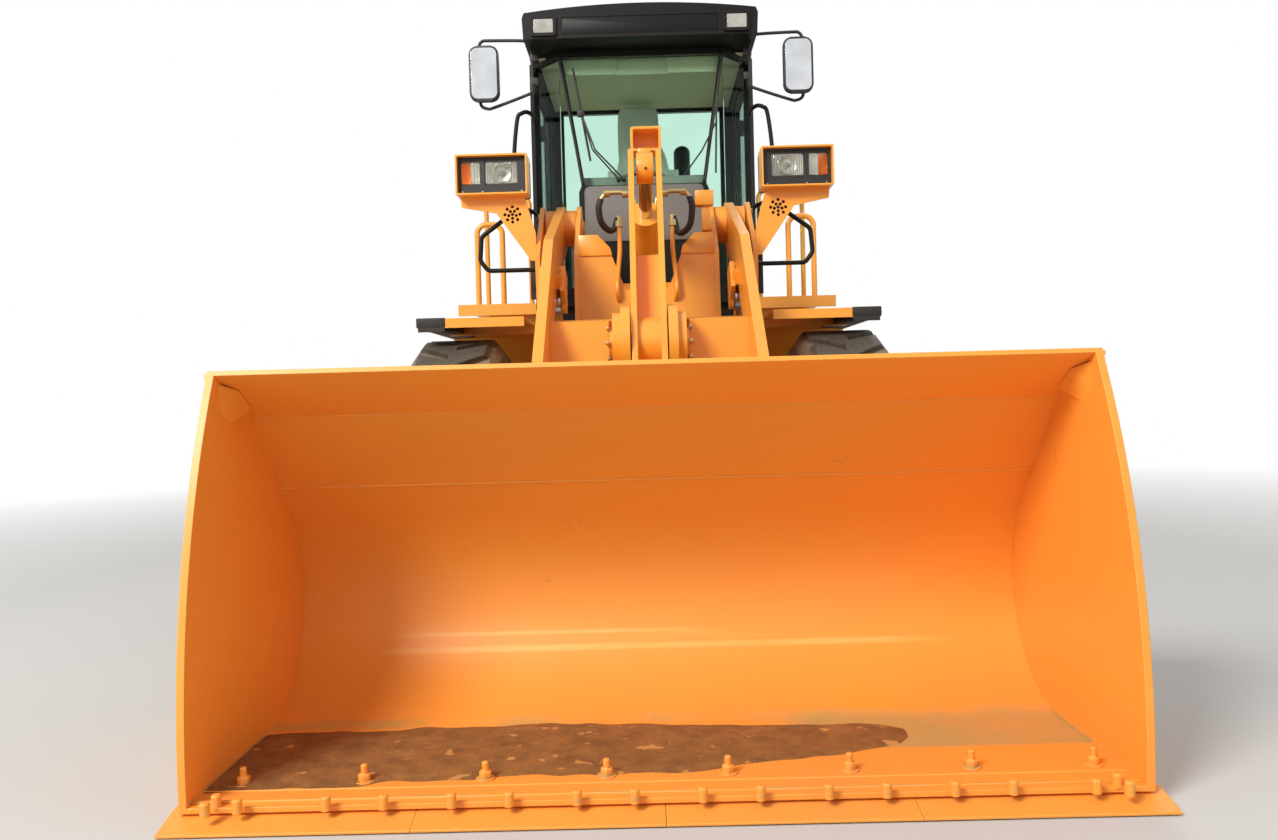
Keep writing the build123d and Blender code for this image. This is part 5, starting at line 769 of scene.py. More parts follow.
def piece(bm, name, body, slot_name, look=None, **settings):
    """A mesh that rides on its body. Its finish is the slot's own, unless look names another."""
    thing = made_of(bm, name, look or slot_name, **settings)
    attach(thing, body)
    return thing


print("helpers ready")

# %% [markdown]
# ## Bucket welds
# The bucket is plate, welded inside along every joint. A weld bead is a thin tube along the joint, sunk
# halfway into the plate, which is much cheaper than cutting a fillet. The inner profile is worked out once,
# as (Y, Z) points from the cutting edge to the spill guard. The soil lies on the same floor and roll.

# %% Bucket welds
floor_z = 0.048
roll_centre = (-2.975, 0.428)
roll_radius = 0.38
roll_end = (-2.6926, 0.6823)
guard_bend = (-2.9937, 1.0167)
guard_top = (-3.252, 1.137)
bucket_inner = 1.22
roll_last = math.degrees(math.atan2(roll_end[1] - roll_centre[1], roll_end[0] - roll_centre[0]))
roll_angles = np.linspace(-90, roll_last, 15)
inner_profile = [(-3.47, floor_z)]
for a in np.radians(roll_angles):
    y, z = roll_centre[0] + roll_radius * math.cos(a), roll_centre[1] + roll_radius * math.sin(a)
    inner_profile.append((y, z))
inner_profile += [guard_bend, guard_top]
bm = bmesh.new()
tube(bm, [(bucket_inner, y, z) for y, z in inner_profile], 0.008, sides=8)
mirror_mesh(bm)
seam_y, seam_z, step_y, stud_weld_y = -2.787, 0.787, -3.478, -3.398
for y, z, radius in (
    (seam_y, seam_z, 0.004), (guard_bend[0], guard_bend[1], 0.003), (stud_weld_y, floor_z, 0.003),
):
    tube(bm, [(-bucket_inner, y, z), (-0.4, y, z), (0.4, y, z), (bucket_inner, y, z)], radius, sides=8)
block(bm, (-1.2, step_y, floor_z - 0.004), (1.2, step_y + 0.012, floor_z + 0.006), 0.003)
piece(bm, "bucket_welds", "bucket", "bucket_orange")
print("inner profile points:", len(inner_profile))

# %% [markdown]
# ## Gussets
# A folded plate closes each upper corner, between the side plate and the spill guard. It has only flat
# faces, so it is the convex hull of its corners.

# %% Gussets
gusset_corners = [
    (1.222, -3.262, 1.128), (1.222, -3.252, 1.01), (1.222, -3.222, 0.972), (1.222, -2.99, 1.012),
    (1.166, -3.17, 1.098), (1.172, -3.058, 1.046),
]
bm = bmesh.new()
for corner in gusset_corners:
    bm.verts.new(corner)
bmesh.ops.convex_hull(bm, input=bm.verts)
mirror_mesh(bm)
piece(bm, "bucket_gussets", "bucket", "bucket_orange", smooth=20, bevel=0.003)
print("gussets: 2")

# %% [markdown]
# ## Bolts of the cutting edge
# Eight tall studs stand in a row behind the edge, with hexagon nuts on washers. In front of them, the ends
# of the plough bolts stand up in pairs as short round studs, with three more in each corner. Both rows are
# even, so they are loops.

# %% Edge bolts
stud_y, stud_pitch, stud_shift = -3.352, 0.3213, 0.008
nut_y, pair_pitch, pair_half = -3.524, 0.312, 0.0715
stud_end = [(0.0, 0.0125), (0.032, 0.0125), (0.036, 0.009), (0.036, 0.0)]
bm = bmesh.new()
for k in range(8):
    place = ((k - 3.5) * stud_pitch + stud_shift, stud_y, floor_z)
    bolt(bm, place, (0, 0, 1), 0.03, stud=0.028, washer=0.025)
short_studs = []
for k in range(6):
    short_studs += [((k - 2.5) * pair_pitch + side * pair_half + stud_shift, nut_y) for side in (-1, 1)]
for x, y in ((1.135, -3.548), (1.128, -3.497), (1.062, -3.53)):
    short_studs += [(side * x, y) for side in (-1, 1)]
for x, y in short_studs:
    turned(bm, stud_end, (x, y, floor_z - 0.004), (0, 0, 1), 14)
piece(bm, "edge_bolts", "bucket", "worn_steel", "bucket_orange", smooth=30)
print("bolts: 8 tall studs, 12 short ones, 6 in the corners")

# %% [markdown]
# ## Soil left in the bucket
# A thin crust of dried mud lies on the left of the floor and runs out to a tongue on the right. It is a
# fine grid laid on the floor and the foot of the roll. Its front edge is a short line of points with a
# little noise, and the crust thins to nothing there.

# %% Soil
soil_left, soil_right, soil_back_y = -1.21, 0.72, -2.93
soil_line_x = (soil_left, -0.7, -0.06, 0.1, 0.26, 0.43, 0.6, 0.67, 0.705, soil_right)
soil_line_y = (-3.385, -3.37, -3.35, -3.33, -3.262, -3.23, -3.19, -3.15, -3.1, -3.04)
soil_columns, soil_rows = 260, 56
rng = np.random.default_rng(7)
wave_k = rng.uniform(4, 60, 18)
wave_a = rng.uniform(0, 2 * math.pi, (18, 2))
bm = bmesh.new()
grid = {}
for i in range(soil_columns + 1):
    x = soil_left + i * (soil_right - soil_left) / soil_columns
    ragged = sum(math.sin(k * x + a) / k for k, (a, b) in zip(wave_k, wave_a)) * 0.08
    front = float(np.interp(x, soil_line_x, soil_line_y)) + ragged
    back = soil_back_y - 0.05 * max(0.0, (x + 0.2)) - 3.0 * max(0.0, x - 0.58) ** 2 + ragged * 0.6
    if back - front < 0.02:
        continue
    for j in range(soil_rows + 1):
        t = j / soil_rows
        y = front + (back - front) * t
        ground = floor_z
        if y >= roll_centre[0]:
            ground = roll_centre[1] - math.sqrt(roll_radius ** 2 - (y - roll_centre[0]) ** 2)
        lumps = sum(math.sin(k * x + a) * math.sin(k * 1.3 * y + b) for k, (a, b) in zip(wave_k, wave_a)) / 9
        depth = 0.007 * min(1.0, t / 0.08, (1 - t) / 0.1, (0.73 - x) / 0.08) * (1 + 0.35 * lumps) - 0.0005
        grid[i, j] = bm.verts.new((x, y, ground + depth))
for (i, j), corner in grid.items():
    if (i + 1, j + 1) in grid:
        bm.faces.new((corner, grid[i + 1, j], grid[i + 1, j + 1], grid[i, j + 1]))
piece(bm, "bucket_soil", "bucket", "bucket_orange", "soil", smooth=180)
print("soil patch:", len(grid), "points")

# %% [markdown]
# ## Level tube and tilt fittings
# A short square tube lies across the top of the tilt rod's eye: the operator reads the bucket's level from
# it. It is open, so it is two outlines joined into a frame and given depth.

# %% Level tube
def frame_bar(bm, outer, inner, centre, across, upward, depth):
    """An open tube: the ring between two outlines of the same number of points, with depth."""
    centre, across, upward = Vector(centre), Vector(across), Vector(upward)
    out = across.cross(upward).normalized() * depth
    rings = []
    for outline, move in ((outer, Vector()), (outer, out), (inner, out), (inner, Vector())):
        rings.append([bm.verts.new(centre + across * a + upward * b + move) for a, b in outline])
    loft(bm, rings, closed=True)


tube_x, tube_z, tube_front, tube_depth = 0.008, 2.2385, -1.3, 0.13
bm = bmesh.new()
outer, inner = rounded_outline(0.142, 0.113, 0.014, 4), rounded_outline(0.118, 0.09, 0.008, 4)
frame_bar(bm, outer, inner, (tube_x, tube_front, tube_z), (-1, 0, 0), (0, 0, 1), tube_depth)
back, half_wide, half_tall = tube_front + 0.118, 0.062, 0.047
low = (tube_x - half_wide, back, tube_z - half_tall)
high = (tube_x + half_wide, back + 0.008, tube_z + half_tall)
block(bm, low, high)
block(bm, (-0.03, tube_front - 0.03, 2.145), (0.03, tube_front + 0.1, 2.19), 0.006)
piece(bm, "level_tube", "tilt_rod", "orange", smooth=30)
print("level tube at", tube_z)

# %% [markdown]
# ## Pin bolts and grease nipples
# Every pin is kept by a cap with bolts round it and a grease nipple in the middle. The cap's place comes
# from the frame, so only the number of bolts and their circle are chosen here.

# %% Pin fittings
nipple = [(-0.001, 0.008), (0.006, 0.008), (0.006, 0.004), (0.014, 0.003), (0.018, 0.005), (0.021, 0.0)]


def cap_fittings(name, node, body, ring, count, size):
    """Bolts and a nipple on both end faces of a pin that lies along X."""
    low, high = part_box(node)
    y, z = (low[1] + high[1]) / 2, (low[2] + high[2]) / 2
    bm = bmesh.new()
    for x, side in ((low[0], -1), (high[0], 1)):
        bolt_circle(bm, (x - side * 0.001, y, z), side, ring, count, size)
        turned(bm, nipple, (x, y, z), (side, 0, 0), 12)
    piece(bm, name, body, "worn_steel", "zinc", smooth=30)


cap_fittings("crank_pin_bolts", "crank_pin", "crank_carrier", 0.075, 6, 0.02)
cap_fittings("link_pin_bolts", "link_pin", "link_carrier", 0.05, 4, 0.016)
print("bolts on", 2, "pins")

# %% [markdown]
# ## Tilt hoses
# Two steel pipes come up out of the front frame. From each one a short rubber hose loops to a plated elbow
# on the tilt cylinder. The elbows ride on the cylinder, and the hoses have to give when it swings. Each
# hose's mesh stays where it is made, on neither body.

# %% Tilt hoses
def smooth_route(points, steps=6):
    """More points on a smooth curve through the given ones."""
    points = [Vector(p) for p in points]
    ends = [points[0] * 2 - points[1]] + points + [points[-1] * 2 - points[-2]]
    route = []
    for a, b, c, d in zip(ends, ends[1:], ends[2:], ends[3:]):
        for k in range(steps):
            t = k / steps
            square, cube = 2 * a - 5 * b + 4 * c - d, 3 * b - a - 3 * c + d
            route.append(0.5 * (2 * b + (c - a) * t + square * t * t + cube * t ** 3))
    return route + [points[-1]]


pipe_x, pipe_y, elbow_y = 0.138, -0.82, -0.95
pipe_nut = [(0, 0.013), (0, 0.021), (0.03, 0.021), (0.03, 0.017), (0.055, 0.017), (0.055, 0.01)]
collar = [(-0.014, 0.01), (-0.014, 0.018), (0.014, 0.018), (0.014, 0.01)]
bm_pipe, bm_fit, bm_elbow = bmesh.new(), bmesh.new(), bmesh.new()
for hand, side in reversed(hands):
    riser = [(0.13, -0.72, 1.5), (0.15, pipe_y, 1.57), (0.15, pipe_y, 1.65), (0.135, pipe_y, 1.8)]
    riser.append((pipe_x, pipe_y, 1.93))
    tube(bm_pipe, smooth_route([(side * x, y, z) for x, y, z in riser]), 0.012)
    turned(bm_fit, pipe_nut, (side * pipe_x, pipe_y, 1.915), (0, 0, 1), 16)
    elbow = [(0.055, 1.95), (0.06, 2.03), (0.11, 2.062), (0.19, 2.06), (0.222, 2.03)]
    tube(bm_elbow, smooth_route([(side * x, elbow_y, z) for x, z in elbow]), 0.0115)
    for x, z in ((0.1, 2.055), (0.19, 2.06)):
        turned(bm_elbow, collar, (side * x, elbow_y, z), (1, 0, 0.05), 8)
    bm = bmesh.new()
    drop = 0.0 if side < 0 else -0.02
    route = [(0.221, elbow_y, 2.034), (0.232, elbow_y, 1.985), (0.222, elbow_y + 0.03, 1.925 + drop)]
    route += [(0.19, elbow_y + 0.08, 1.893 + drop), (0.162, pipe_y, 1.905 + drop)]
    route += [(0.146, pipe_y, 1.945), (0.139, pipe_y, 1.962)]
    tube(bm, smooth_route([(side * x, y, z) for x, y, z in route], 8), 0.0165)
    hose = made_of(bm, "tilt_hose_" + hand, "rubber", smooth=180)
    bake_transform(hose)
piece(bm_pipe, "tilt_pipes", "front_body", "orange")
piece(bm_fit, "tilt_pipe_nuts", "front_body", "worn_steel", "zinc", smooth=30)
piece(bm_elbow, "tilt_elbows", "tilt_barrel", "worn_steel", "zinc", smooth=40)
print("tilt hoses: 2")

# %% [markdown]
# ## Lamps
# Each lamp cluster is a folded orange frame around a black face. The inner part holds the head lamp, a
# bowl-shaped reflector behind a clear lens with prisms, and the outer part holds an amber indicator beside
# a clear one.

# %% Lamp clusters
low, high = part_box("lamp_boxes")
lamp_front, lamp_out, lamp_low, lamp_high = low[1], high[0], low[2], high[2]
lamp_in = 0.602
lens_z = (lamp_low + lamp_high) / 2 + 0.012
head_x, head_width, indicator_x, indicator_width, lens_height = 0.735, 0.164, 0.893, 0.098, 0.11
recess_height = 0.135
reflector_y, bowl_y = lamp_front + 0.0118, lamp_front + 0.0098
bar_front, bar_back = lamp_front + 0.0075, lamp_front + 0.0097
bar_low, bar_high = lens_z - 0.05, lens_z + 0.05
bm_frame, bm_head, bm_amber, bm_bowl, bm_screw, bm_mask, bm_bar = (bmesh.new() for k in range(7))
middle = ((lamp_in + lamp_out) / 2, (lamp_low + lamp_high) / 2)
width, height = lamp_out - lamp_in, lamp_high - lamp_low
outer = rounded_outline(width + 0.004, height + 0.004, 0.006)
inner = rounded_outline(width - 0.014, height - 0.014, 0.006)
frame_bar(bm_frame, outer, inner, (middle[0], lamp_front + 0.1, middle[1]), (-1, 0, 0), (0, 0, 1), -0.135)
# Lenses as (middle, width): the head lamp, then the clear and the amber part of the indicator
clear_lenses = ((head_x, head_width), (indicator_x - 0.025, 0.046))
amber_lenses = ((indicator_x + 0.025, 0.046),)
for mesh, lenses in ((bm_head, clear_lenses), (bm_amber, amber_lenses)):
    for x, wide in lenses:
        plate(mesh, wide, lens_height, 0.008, (x, lamp_front + 0.004, lens_z), 0.008, 0.003)
for x, wide in ((head_x, head_width), (indicator_x, indicator_width)):
    plate(bm_bowl, wide, lens_height, 0.008, (x, reflector_y, lens_z), 0.002)
    for end in (-1, 1):
        strip = (recess_height - lens_height) / 2
        plate(bm_mask, wide, strip, 0.003, (x, reflector_y, lens_z + end * (lens_height + strip) / 2), 0.0105)
# The head lamp's bowl: a ring, a bulb shield in its middle, and prism bars across the glass
bowl_ring = [(0.0, 0.05), (0.004, 0.048), (0.001, 0.034), (0.0, 0.03)]
shield = [(0.0, 0.017), (0.004, 0.016), (0.005, 0.012), (0.005, 0.0)]
turned(bm_bowl, bowl_ring, (head_x, bowl_y, lens_z), (0, -1, 0), 28)
turned(bm_bar, shield, (head_x, bowl_y, lens_z - 0.004), (0, -1, 0), 20)
for k in range(15):
    x = head_x + (k - 7) * 0.0105
    if abs(k - 7) > 1:
        block(bm_bar, (x - 0.0013, bar_front, bar_low), (x + 0.0013, bar_back, bar_high))
for k in range(3):
    x = indicator_x - 0.043 + 0.012 * k
    block(bm_bar, (x - 0.001, bar_front, bar_low), (x + 0.001, bar_back, bar_high))
screw_head = [(0, 0.005), (0.002, 0.004), (0.003, 0.0)]
for x in (lamp_in + 0.03, (head_x + indicator_x) / 2 + 0.02, lamp_out - 0.03):
    turned(bm_screw, screw_head, (x, lamp_front, lamp_low + 0.018), (0, -1, 0), 10)
for mesh, name, slot_name, look in (
    (bm_frame, "lamp_frames", "orange", "orange"),
    (bm_head, "lamp_lenses", "cab_pane", "clear_lens"),
    (bm_amber, "indicator_lenses", "cab_pane", "amber_lens"),
    (bm_bowl, "lamp_reflectors", "rod_chrome", "reflector"),
    (bm_screw, "lamp_screws", "worn_steel", "zinc"),
    (bm_mask, "lamp_masks", "black_plastic", "black_plastic"),
    (bm_bar, "lamp_bars", "engine_grey", "engine_grey"),
):
    mirror_mesh(mesh)
    piece(mesh, name, "front_body", slot_name, look, smooth=30)
print("lamp clusters: 2, front face at", round(lamp_front, 3))

# %% [markdown]
# ## Roof lamps and sun band
# The cab's roof carries a dark band above the windscreen, and a small square work lamp in each front
# corner.

# %% Roof lamps
low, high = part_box("cab_roof")
roof_front, roof_lamp_x, roof_lamp_z = low[1], 0.556, 3.19
bm_lens, bm_band = bmesh.new(), bmesh.new()
plate(bm_lens, 0.112, 0.077, 0.004, (roof_lamp_x, roof_front + 0.008, roof_lamp_z), 0.007, 0.002)
mirror_mesh(bm_lens)
plate(bm_band, 0.898, 0.098, 0.01, (0, roof_front + 0.0225, roof_lamp_z), 0.005, 0.002)
piece(bm_lens, "roof_lamp_lenses", "rear_body", "cab_pane", "reflector", smooth=30)
piece(bm_band, "roof_band", "rear_body", "black_plastic", "black_paint", smooth=30)
print("roof lamps: 2")

# %% [markdown]
# ## Seals and wipers
# A rubber strip holds the windscreen along both sloping edges. The wipers rest on the glass: a long one on
# the right with a double arm from below, and a thin one on the left. All of them are thin bars along a
# route.

# %% Seals and wipers
screen_y = 0.092
bm = bmesh.new()
for side in (-1, 1):
    tube(bm, [(side * 0.488, screen_y, 3.08), (side * 0.365, screen_y, 2.33)], 0.008, sides=8)
piece(bm, "screen_seals", "rear_body", "black_plastic", "rubber")
bm = bmesh.new()
blade_y = screen_y - 0.02
tube(bm, [(-0.405, blade_y, 3.01), (-0.315, blade_y, 2.46)], 0.007, sides=8)
for shift in (0.0, 0.03):
    foot, middle = (-0.15 + shift, screen_y - 0.01, 2.35), (-0.3 + shift * 0.5, screen_y - 0.045, 2.52)
    tube(bm, [foot, middle, (-0.362, screen_y - 0.03, 2.74)], 0.005, 0.05, 8)
block(bm, (-0.385, screen_y - 0.04, 2.72), (-0.345, screen_y - 0.015, 2.76), 0.004)
for x in (-0.15, -0.12):
    turned(bm, [(-0.02, 0.014), (0.02, 0.014), (0.03, 0.008), (0.03, 0)], (x, screen_y, 2.35), (0, -1, 0), 12)
tube(bm, [(0.447, blade_y, 2.86), (0.43, blade_y, 2.37)], 0.006, sides=8)
thin_arm = [(0.24, screen_y - 0.01, 2.36), (0.35, screen_y - 0.04, 2.5), (0.44, screen_y - 0.03, 2.67)]
tube(bm, thin_arm, 0.005, 0.05, 8)
piece(bm, "wipers", "rear_body", "black_plastic")
print("wipers: 2")

# %% [markdown]
# ## Cab lining
# A pale lining covers the ceiling and the screen's top edge inside the cab, with two cream visors hung from
# it. It is seen through the windscreen from below, and lightens the roof's dark underside.

# %% Cab lining
finish["lining"] = painted(
    "pale lining", (0.8, 0.8, 0.68), (0.84, 0.84, 0.74), dust=0.1, roughness=0.8, coat=0.0, edge=0.0,
)
visor_z = 3.05
bm = bmesh.new()
plate(bm, 0.94, 0.12, 0.03, (0, 0.19, visor_z + 0.005), 0.02, 0.004)
block(bm, (-0.62, 0.19, 3.106), (0.62, 1.32, 3.117), 0.003)
for x in (-0.297, 0.305):
    plate(bm, 0.3, 0.11, 0.02, (x, 0.168, visor_z), 0.014, 0.004)
piece(bm, "sun_visors", "rear_body", "black_plastic", "lining")
print("cab lining: 2 visors")

# %% [markdown]
# ## Fender trim
# The fenders' outer ends are thick rubber with a flap hanging from the front corner, and a grab rail loops
# out beside each lamp bracket.

# %% Fender trim
bm = bmesh.new()
rail_y = -0.62
grab_rail = [
    (x, rail_y, z) for x, z in ((0.575, 1.735), (0.84, 1.735), (0.88, 1.79), (0.87, 1.915), (0.76, 1.995))
]
tube(bm, grab_rail + [(0.7, -0.655, 2.03), (0.68, -0.7, 2.05)], 0.012, 0.04)
mirror_mesh(bm)
piece(bm, "tower_grab_rails", "front_body", "black_plastic", "black_paint")
bm = bmesh.new()
flap_top, flap_front = 1.437, -1.24
flap = [(0.96, -0.06), (1.085, -0.06), (1.085, 0.0), (0.96, 0.0)]
prism(bm, flap, (0, flap_front + 0.004, flap_top), *facing_front, 0.006)
block(bm, (0.955, -1.2435, 1.397), (1.0935, -0.326, 1.4435), 0.006)
mirror_mesh(bm)
piece(bm, "fender_flaps", "front_body", "black_plastic", "rubber", smooth=30)
print("fender flaps and 2 grab rails")

# %% [markdown]
# ## Wheels
# The tyres' slanted bars are part of the solid tyre. What is added here is what a turned part gives: raised
# rings on both side walls, a split ring at the rim's edge, and the nuts that hold the rim to its hub.

# %% Wheel details
def bead(out, radius, half_wide, half_tall):
    """The section of a thin ring, as (distance along the axle, radius) points."""
    angles = np.linspace(0, 2 * math.pi, 8, endpoint=False)
    return [(out + half_wide * math.cos(a), radius + half_tall * math.sin(a)) for a in angles]


nut_circle = 0.148
side_rings = (0.372, 0.505, 0.588)
wall_radius, wall_out = (0.345, 0.475, 0.6), (0.2045, 0.2225, 0.2105)
for end in ("front", "rear"):
    for hand, outer in hands:
        low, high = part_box("tyre_" + end + "_" + hand)
        centre = [(a + b) / 2 for a, b in zip(low, high)]
        label = end + "_" + hand
        bm = bmesh.new()
        for radius in side_rings:
            x = float(np.interp(radius, wall_radius, wall_out))
            ring = bead(x, radius, 0.004, 0.006)
            for face in (-1, 1):
                turned(bm, [(face * w, r) for w, r in ring], centre, (1, 0, 0), 72, closed=True)
        piece(bm, "tyre_rings_" + label, "wheel_" + label, "tyre_rubber", "tyre_" + end, smooth=50)
        bm = bmesh.new()
        ring = bead(0.2, 0.3, 0.007, 0.009)
        turned(bm, [(outer * w, r) for w, r in ring], centre, (1, 0, 0), 64, closed=True)
        piece(bm, "rim_ring_" + label, "wheel_" + label, "frame_orange", smooth=50)
        bm = bmesh.new()
        bolt_circle(bm, (centre[0] + outer * 0.1, *centre[1:]), outer, nut_circle, 16, 0.026, stud=0.016)
        piece(bm, "wheel_nuts_" + label, "wheel_" + label, "worn_steel", "zinc", smooth=30)
print("side rings a tyre:", 2 * len(side_rings))

# %% [markdown]
# ## Hood trim
# A dark stripe tapers along each side of the hood above the door, black mesh fills the openings of its
# doors, and tail lamps stand on the counterweight. A mesh this fine is cheaper as a bump of crossed bars
# than as wires, so the panels are plain plates with a woven finish.

# %% Mesh finish
material, tree, shader = new_material("black mesh")
place = own_place(tree)
crossed = []
for turn in (0.785, -0.785):
    turned_place = put(tree, "Mapping", {"Vector": place, "Rotation": (turn, turn, turn)}).outputs[0]
    crossed.append(bars(tree, turned_place, 22.0, "Y"))
wire = spread(tree, math_of(tree, "MAXIMUM", *crossed), 0.55, 0.8)
wired = mix_colour(tree, wire, rgb((0.02, 0.02, 0.02)), rgb((0.14, 0.14, 0.14)))
fill(tree, shader, {"Base Color": wired, "Normal": bump(tree, wire, 0.004), "Roughness": 0.6})
finish["mesh"] = material
finish["navy"] = painted(
    "navy stripe", (0.11, 0.13, 0.2), (0.2, 0.22, 0.3), dust=0.2, roughness=0.4, coat=0.1, edge=0.0,
)
print("mesh and stripe finishes")

# %% Hood trim
bm_stripe, bm_tail, bm_box = bmesh.new(), bmesh.new(), bmesh.new()
low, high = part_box("hood")
hood_side = high[0]
stripe = [(1.55, 2.06), (3.15, 2.0), (3.15, 1.995), (2.2, 2.0), (1.55, 2.0)]
prism(bm_stripe, stripe, (hood_side + 0.001, 0, 0), *facing_side, 0.0015)
mirror_mesh(bm_stripe)
piece(bm_stripe, "hood_stripes", "rear_body", "black_plastic", "navy", smooth=0)
low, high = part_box("counterweight")
block(bm_box, (0.72, high[1] - 0.13, high[2] - 0.005), (0.98, high[1] - 0.02, high[2] + 0.11), 0.012)
tail_lens = [(0.0, 0.03), (0.012, 0.03), (0.018, 0.02), (0.018, 0.0)]
for x in (0.78, 0.85, 0.92):
    turned(bm_tail, tail_lens, (x, high[1] - 0.021, high[2] + 0.055), (0, 1, 0), 20)
mirror_mesh(bm_box)
mirror_mesh(bm_tail)
piece(bm_box, "tail_lamp_boxes", "rear_body", "black_plastic", smooth=30)
piece(bm_tail, "tail_lamp_lenses", "rear_body", "cab_pane", "red_lens", smooth=30)
print("hood stripes and tail lamps")

# %% [markdown]
# ## Seat cushions
# The operator's seat has a padded cushion, back and headrest in grey cloth. The modelled seat is plain, so
# it stays as the base, and crowned pads lie on it: a rounded slab, pushed out in the middle.

# %% Seat pads
def crowned_pad(name, centre, across, upward, width, height, thick, crown, taper=0.0):
    """A pad whose face swells in the middle, with rounded rims, narrower upwards by its taper."""
    bm = bmesh.new()
    across, upward = Vector(across), Vector(upward)
    out = across.cross(upward).normalized()
    count = 20
    centre = Vector(centre)
    front, back = {}, {}
    for i in range(count + 1):
        for j in range(count + 1):
            a, b = 2 * i / count - 1, 2 * j / count - 1
            swell = (1 - abs(a) ** 3.2) ** 0.5 * (1 - abs(b) ** 3.2) ** 0.5
            pull = 1 - 0.12 * (a * b) ** 4
            half_wide = width / 2 * (1 - taper * (b + 1) / 2)
            flat = centre + across * (a * pull * half_wide) + upward * (b * pull * height / 2)
            front[i, j] = bm.verts.new(flat + out * (thick * swell ** 0.4 + crown * swell))
            if i in (0, count) or j in (0, count):
                back[i, j] = bm.verts.new(flat - out * 0.004)
    for i in range(count):
        for j in range(count):
            bm.faces.new((front[i, j], front[i + 1, j], front[i + 1, j + 1], front[i, j + 1]))
    rim = [(i, 0) for i in range(count)] + [(count, j) for j in range(count)]
    rim += [(i, count) for i in range(count, 0, -1)] + [(0, j) for j in range(count, 0, -1)]
    for a, b in zip(rim, rim[1:] + rim[:1]):
        bm.faces.new((front[a], front[b], back[b], back[a]))
    pad = piece(bm, name, "rear_body", "seat_cloth", smooth=180)


crowned_pad("seat_cushion_pad", (0, 0.9, 2.078), (1, 0, 0), (0, 1, 0), 0.46, 0.46, 0.01, 0.02)
crowned_pad("seat_back_pad", (0, 1.154, 2.47), (1, 0, 0), (0, 0.176, 0.984), 0.52, 0.76, 0.012, 0.03, 0.4)
crowned_pad("headrest_pad", (-0.026, 1.203, 2.87), *facing_front, 0.29, 0.45, 0.05, 0.03)
print("seat pads: 3")

# %% [markdown]
# ## Mirrors, grab rails and handles
# A mirror with rounded corners hangs at the outer end of a bent steel loop, whose inner side is clamped to
# the corner post of the cab. Below it a grab rail curves out of the post. Each door has a pull handle.

# %% Mirrors and rails
mirror_x, mirror_z, mirror_front = 0.922, 2.968, -0.019
bm_face, bm_head = bmesh.new(), bmesh.new()
plate(bm_face, 0.15, 0.295, 0.035, (mirror_x, mirror_front - 0.0005, mirror_z), 0.002)
plate(bm_head, 0.174, 0.322, 0.045, (mirror_x, mirror_front + 0.04, mirror_z), 0.04, 0.008)
loop = [
    (0.955, 3.1), (0.955, 3.15), (0.935, 3.175), (0.895, 3.178), (0.7, 3.172), (0.66, 3.158), (0.645, 3.118),
    (0.645, 2.9), (0.65, 2.87), (0.68, 2.852), (0.875, 2.784), (0.915, 2.778), (0.95, 2.795), (0.962, 2.84),
]
tube(bm_head, smooth_route([(x, 0.045, z) for x, z in loop], 4), 0.0095, sides=10)
for z in (3.07, 2.93):
    block(bm_head, (0.606, 0.036, z - 0.022), (0.656, 0.06, z + 0.022), 0.003)
    tube(bm_head, [(0.632, 0.05, z), (0.66, 0.316, z)], 0.01, sides=8)
mirror_mesh(bm_face)
mirror_mesh(bm_head)
heads = piece(bm_head, "mirror_loops", "rear_body", "black_plastic")
piece(bm_face, "mirror_faces", "rear_body", "rod_chrome", "mirror_face", smooth=20)
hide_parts("mirrors")
bm = bmesh.new()
rail = [
    (0.664, 0.32, 2.775), (0.666, 0.2, 2.775), (0.69, 0.12, 2.773), (0.722, 0.1, 2.76), (0.748, 0.1, 2.725),
    (0.772, 0.1, 2.52), (0.775, 0.1, 2.32), (0.765, 0.1, 2.24), (0.72, 0.13, 2.2), (0.68, 0.2, 2.19),
    (0.668, 0.32, 2.19),
]
tube(bm, smooth_route(rail, 5), 0.0125)
mirror_mesh(bm)
piece(bm, "cab_rails", "rear_body", "black_plastic", "black_paint")
handle_y = 0.46
for hand, side in hands:
    bm = bmesh.new()
    grip = [(0.69, 2.05), (0.725, 2.06), (0.725, 2.24), (0.69, 2.25)]
    tube(bm, [(side * x, handle_y, z) for x, z in grip], 0.009, 0.02)
    block(bm, (side * 0.7 - 0.012, handle_y - 0.02, 1.98), (side * 0.7 + 0.012, handle_y + 0.02, 2.03), 0.004)
    piece(bm, "door_handle_" + hand, "cab_door_" + hand, "black_plastic", smooth=40)
print("mirror loops, 2 rails, 2 handles")

# %% [markdown]
# ## Cab front and frame top
# The cab's front wall has a grey lining panel under the windscreen. Before it stand two low gussets on the
# front frame's cross plate, and black rubber sheets keep mud off the gap beside each tower.

# %% Cab front and frame top
bm = bmesh.new()
plate(bm, 0.715, 0.33, 0.035, (0, 0.0985, 2.148), 0.006, 0.002)
piece(bm, "front_lining", "rear_body", "black_plastic", "grey_plastic", smooth=30)
bm = bmesh.new()
gusset = [(0.175, 1.775), (0.185, 1.815), (0.248, 1.882), (0.346, 1.882), (0.346, 1.775)]
prism(bm, gusset, (0, -0.781, 0), *facing_front, 0.018, 0.002)
mirror_mesh(bm)
piece(bm, "frame_gussets", "front_body", "orange", smooth=30)
bm = bmesh.new()
block(bm, (0.5735, -0.504, 1.589), (0.63, -0.496, 1.811), 0.002)
mirror_mesh(bm)
piece(bm, "mud_sheets", "front_body", "black_plastic", "rubber", smooth=30)
print("lining, gussets and mud sheets")

# %% [markdown]
# ## Lamp bracket trim
# A dark plate behind the holes of each rosette carries the wiring.

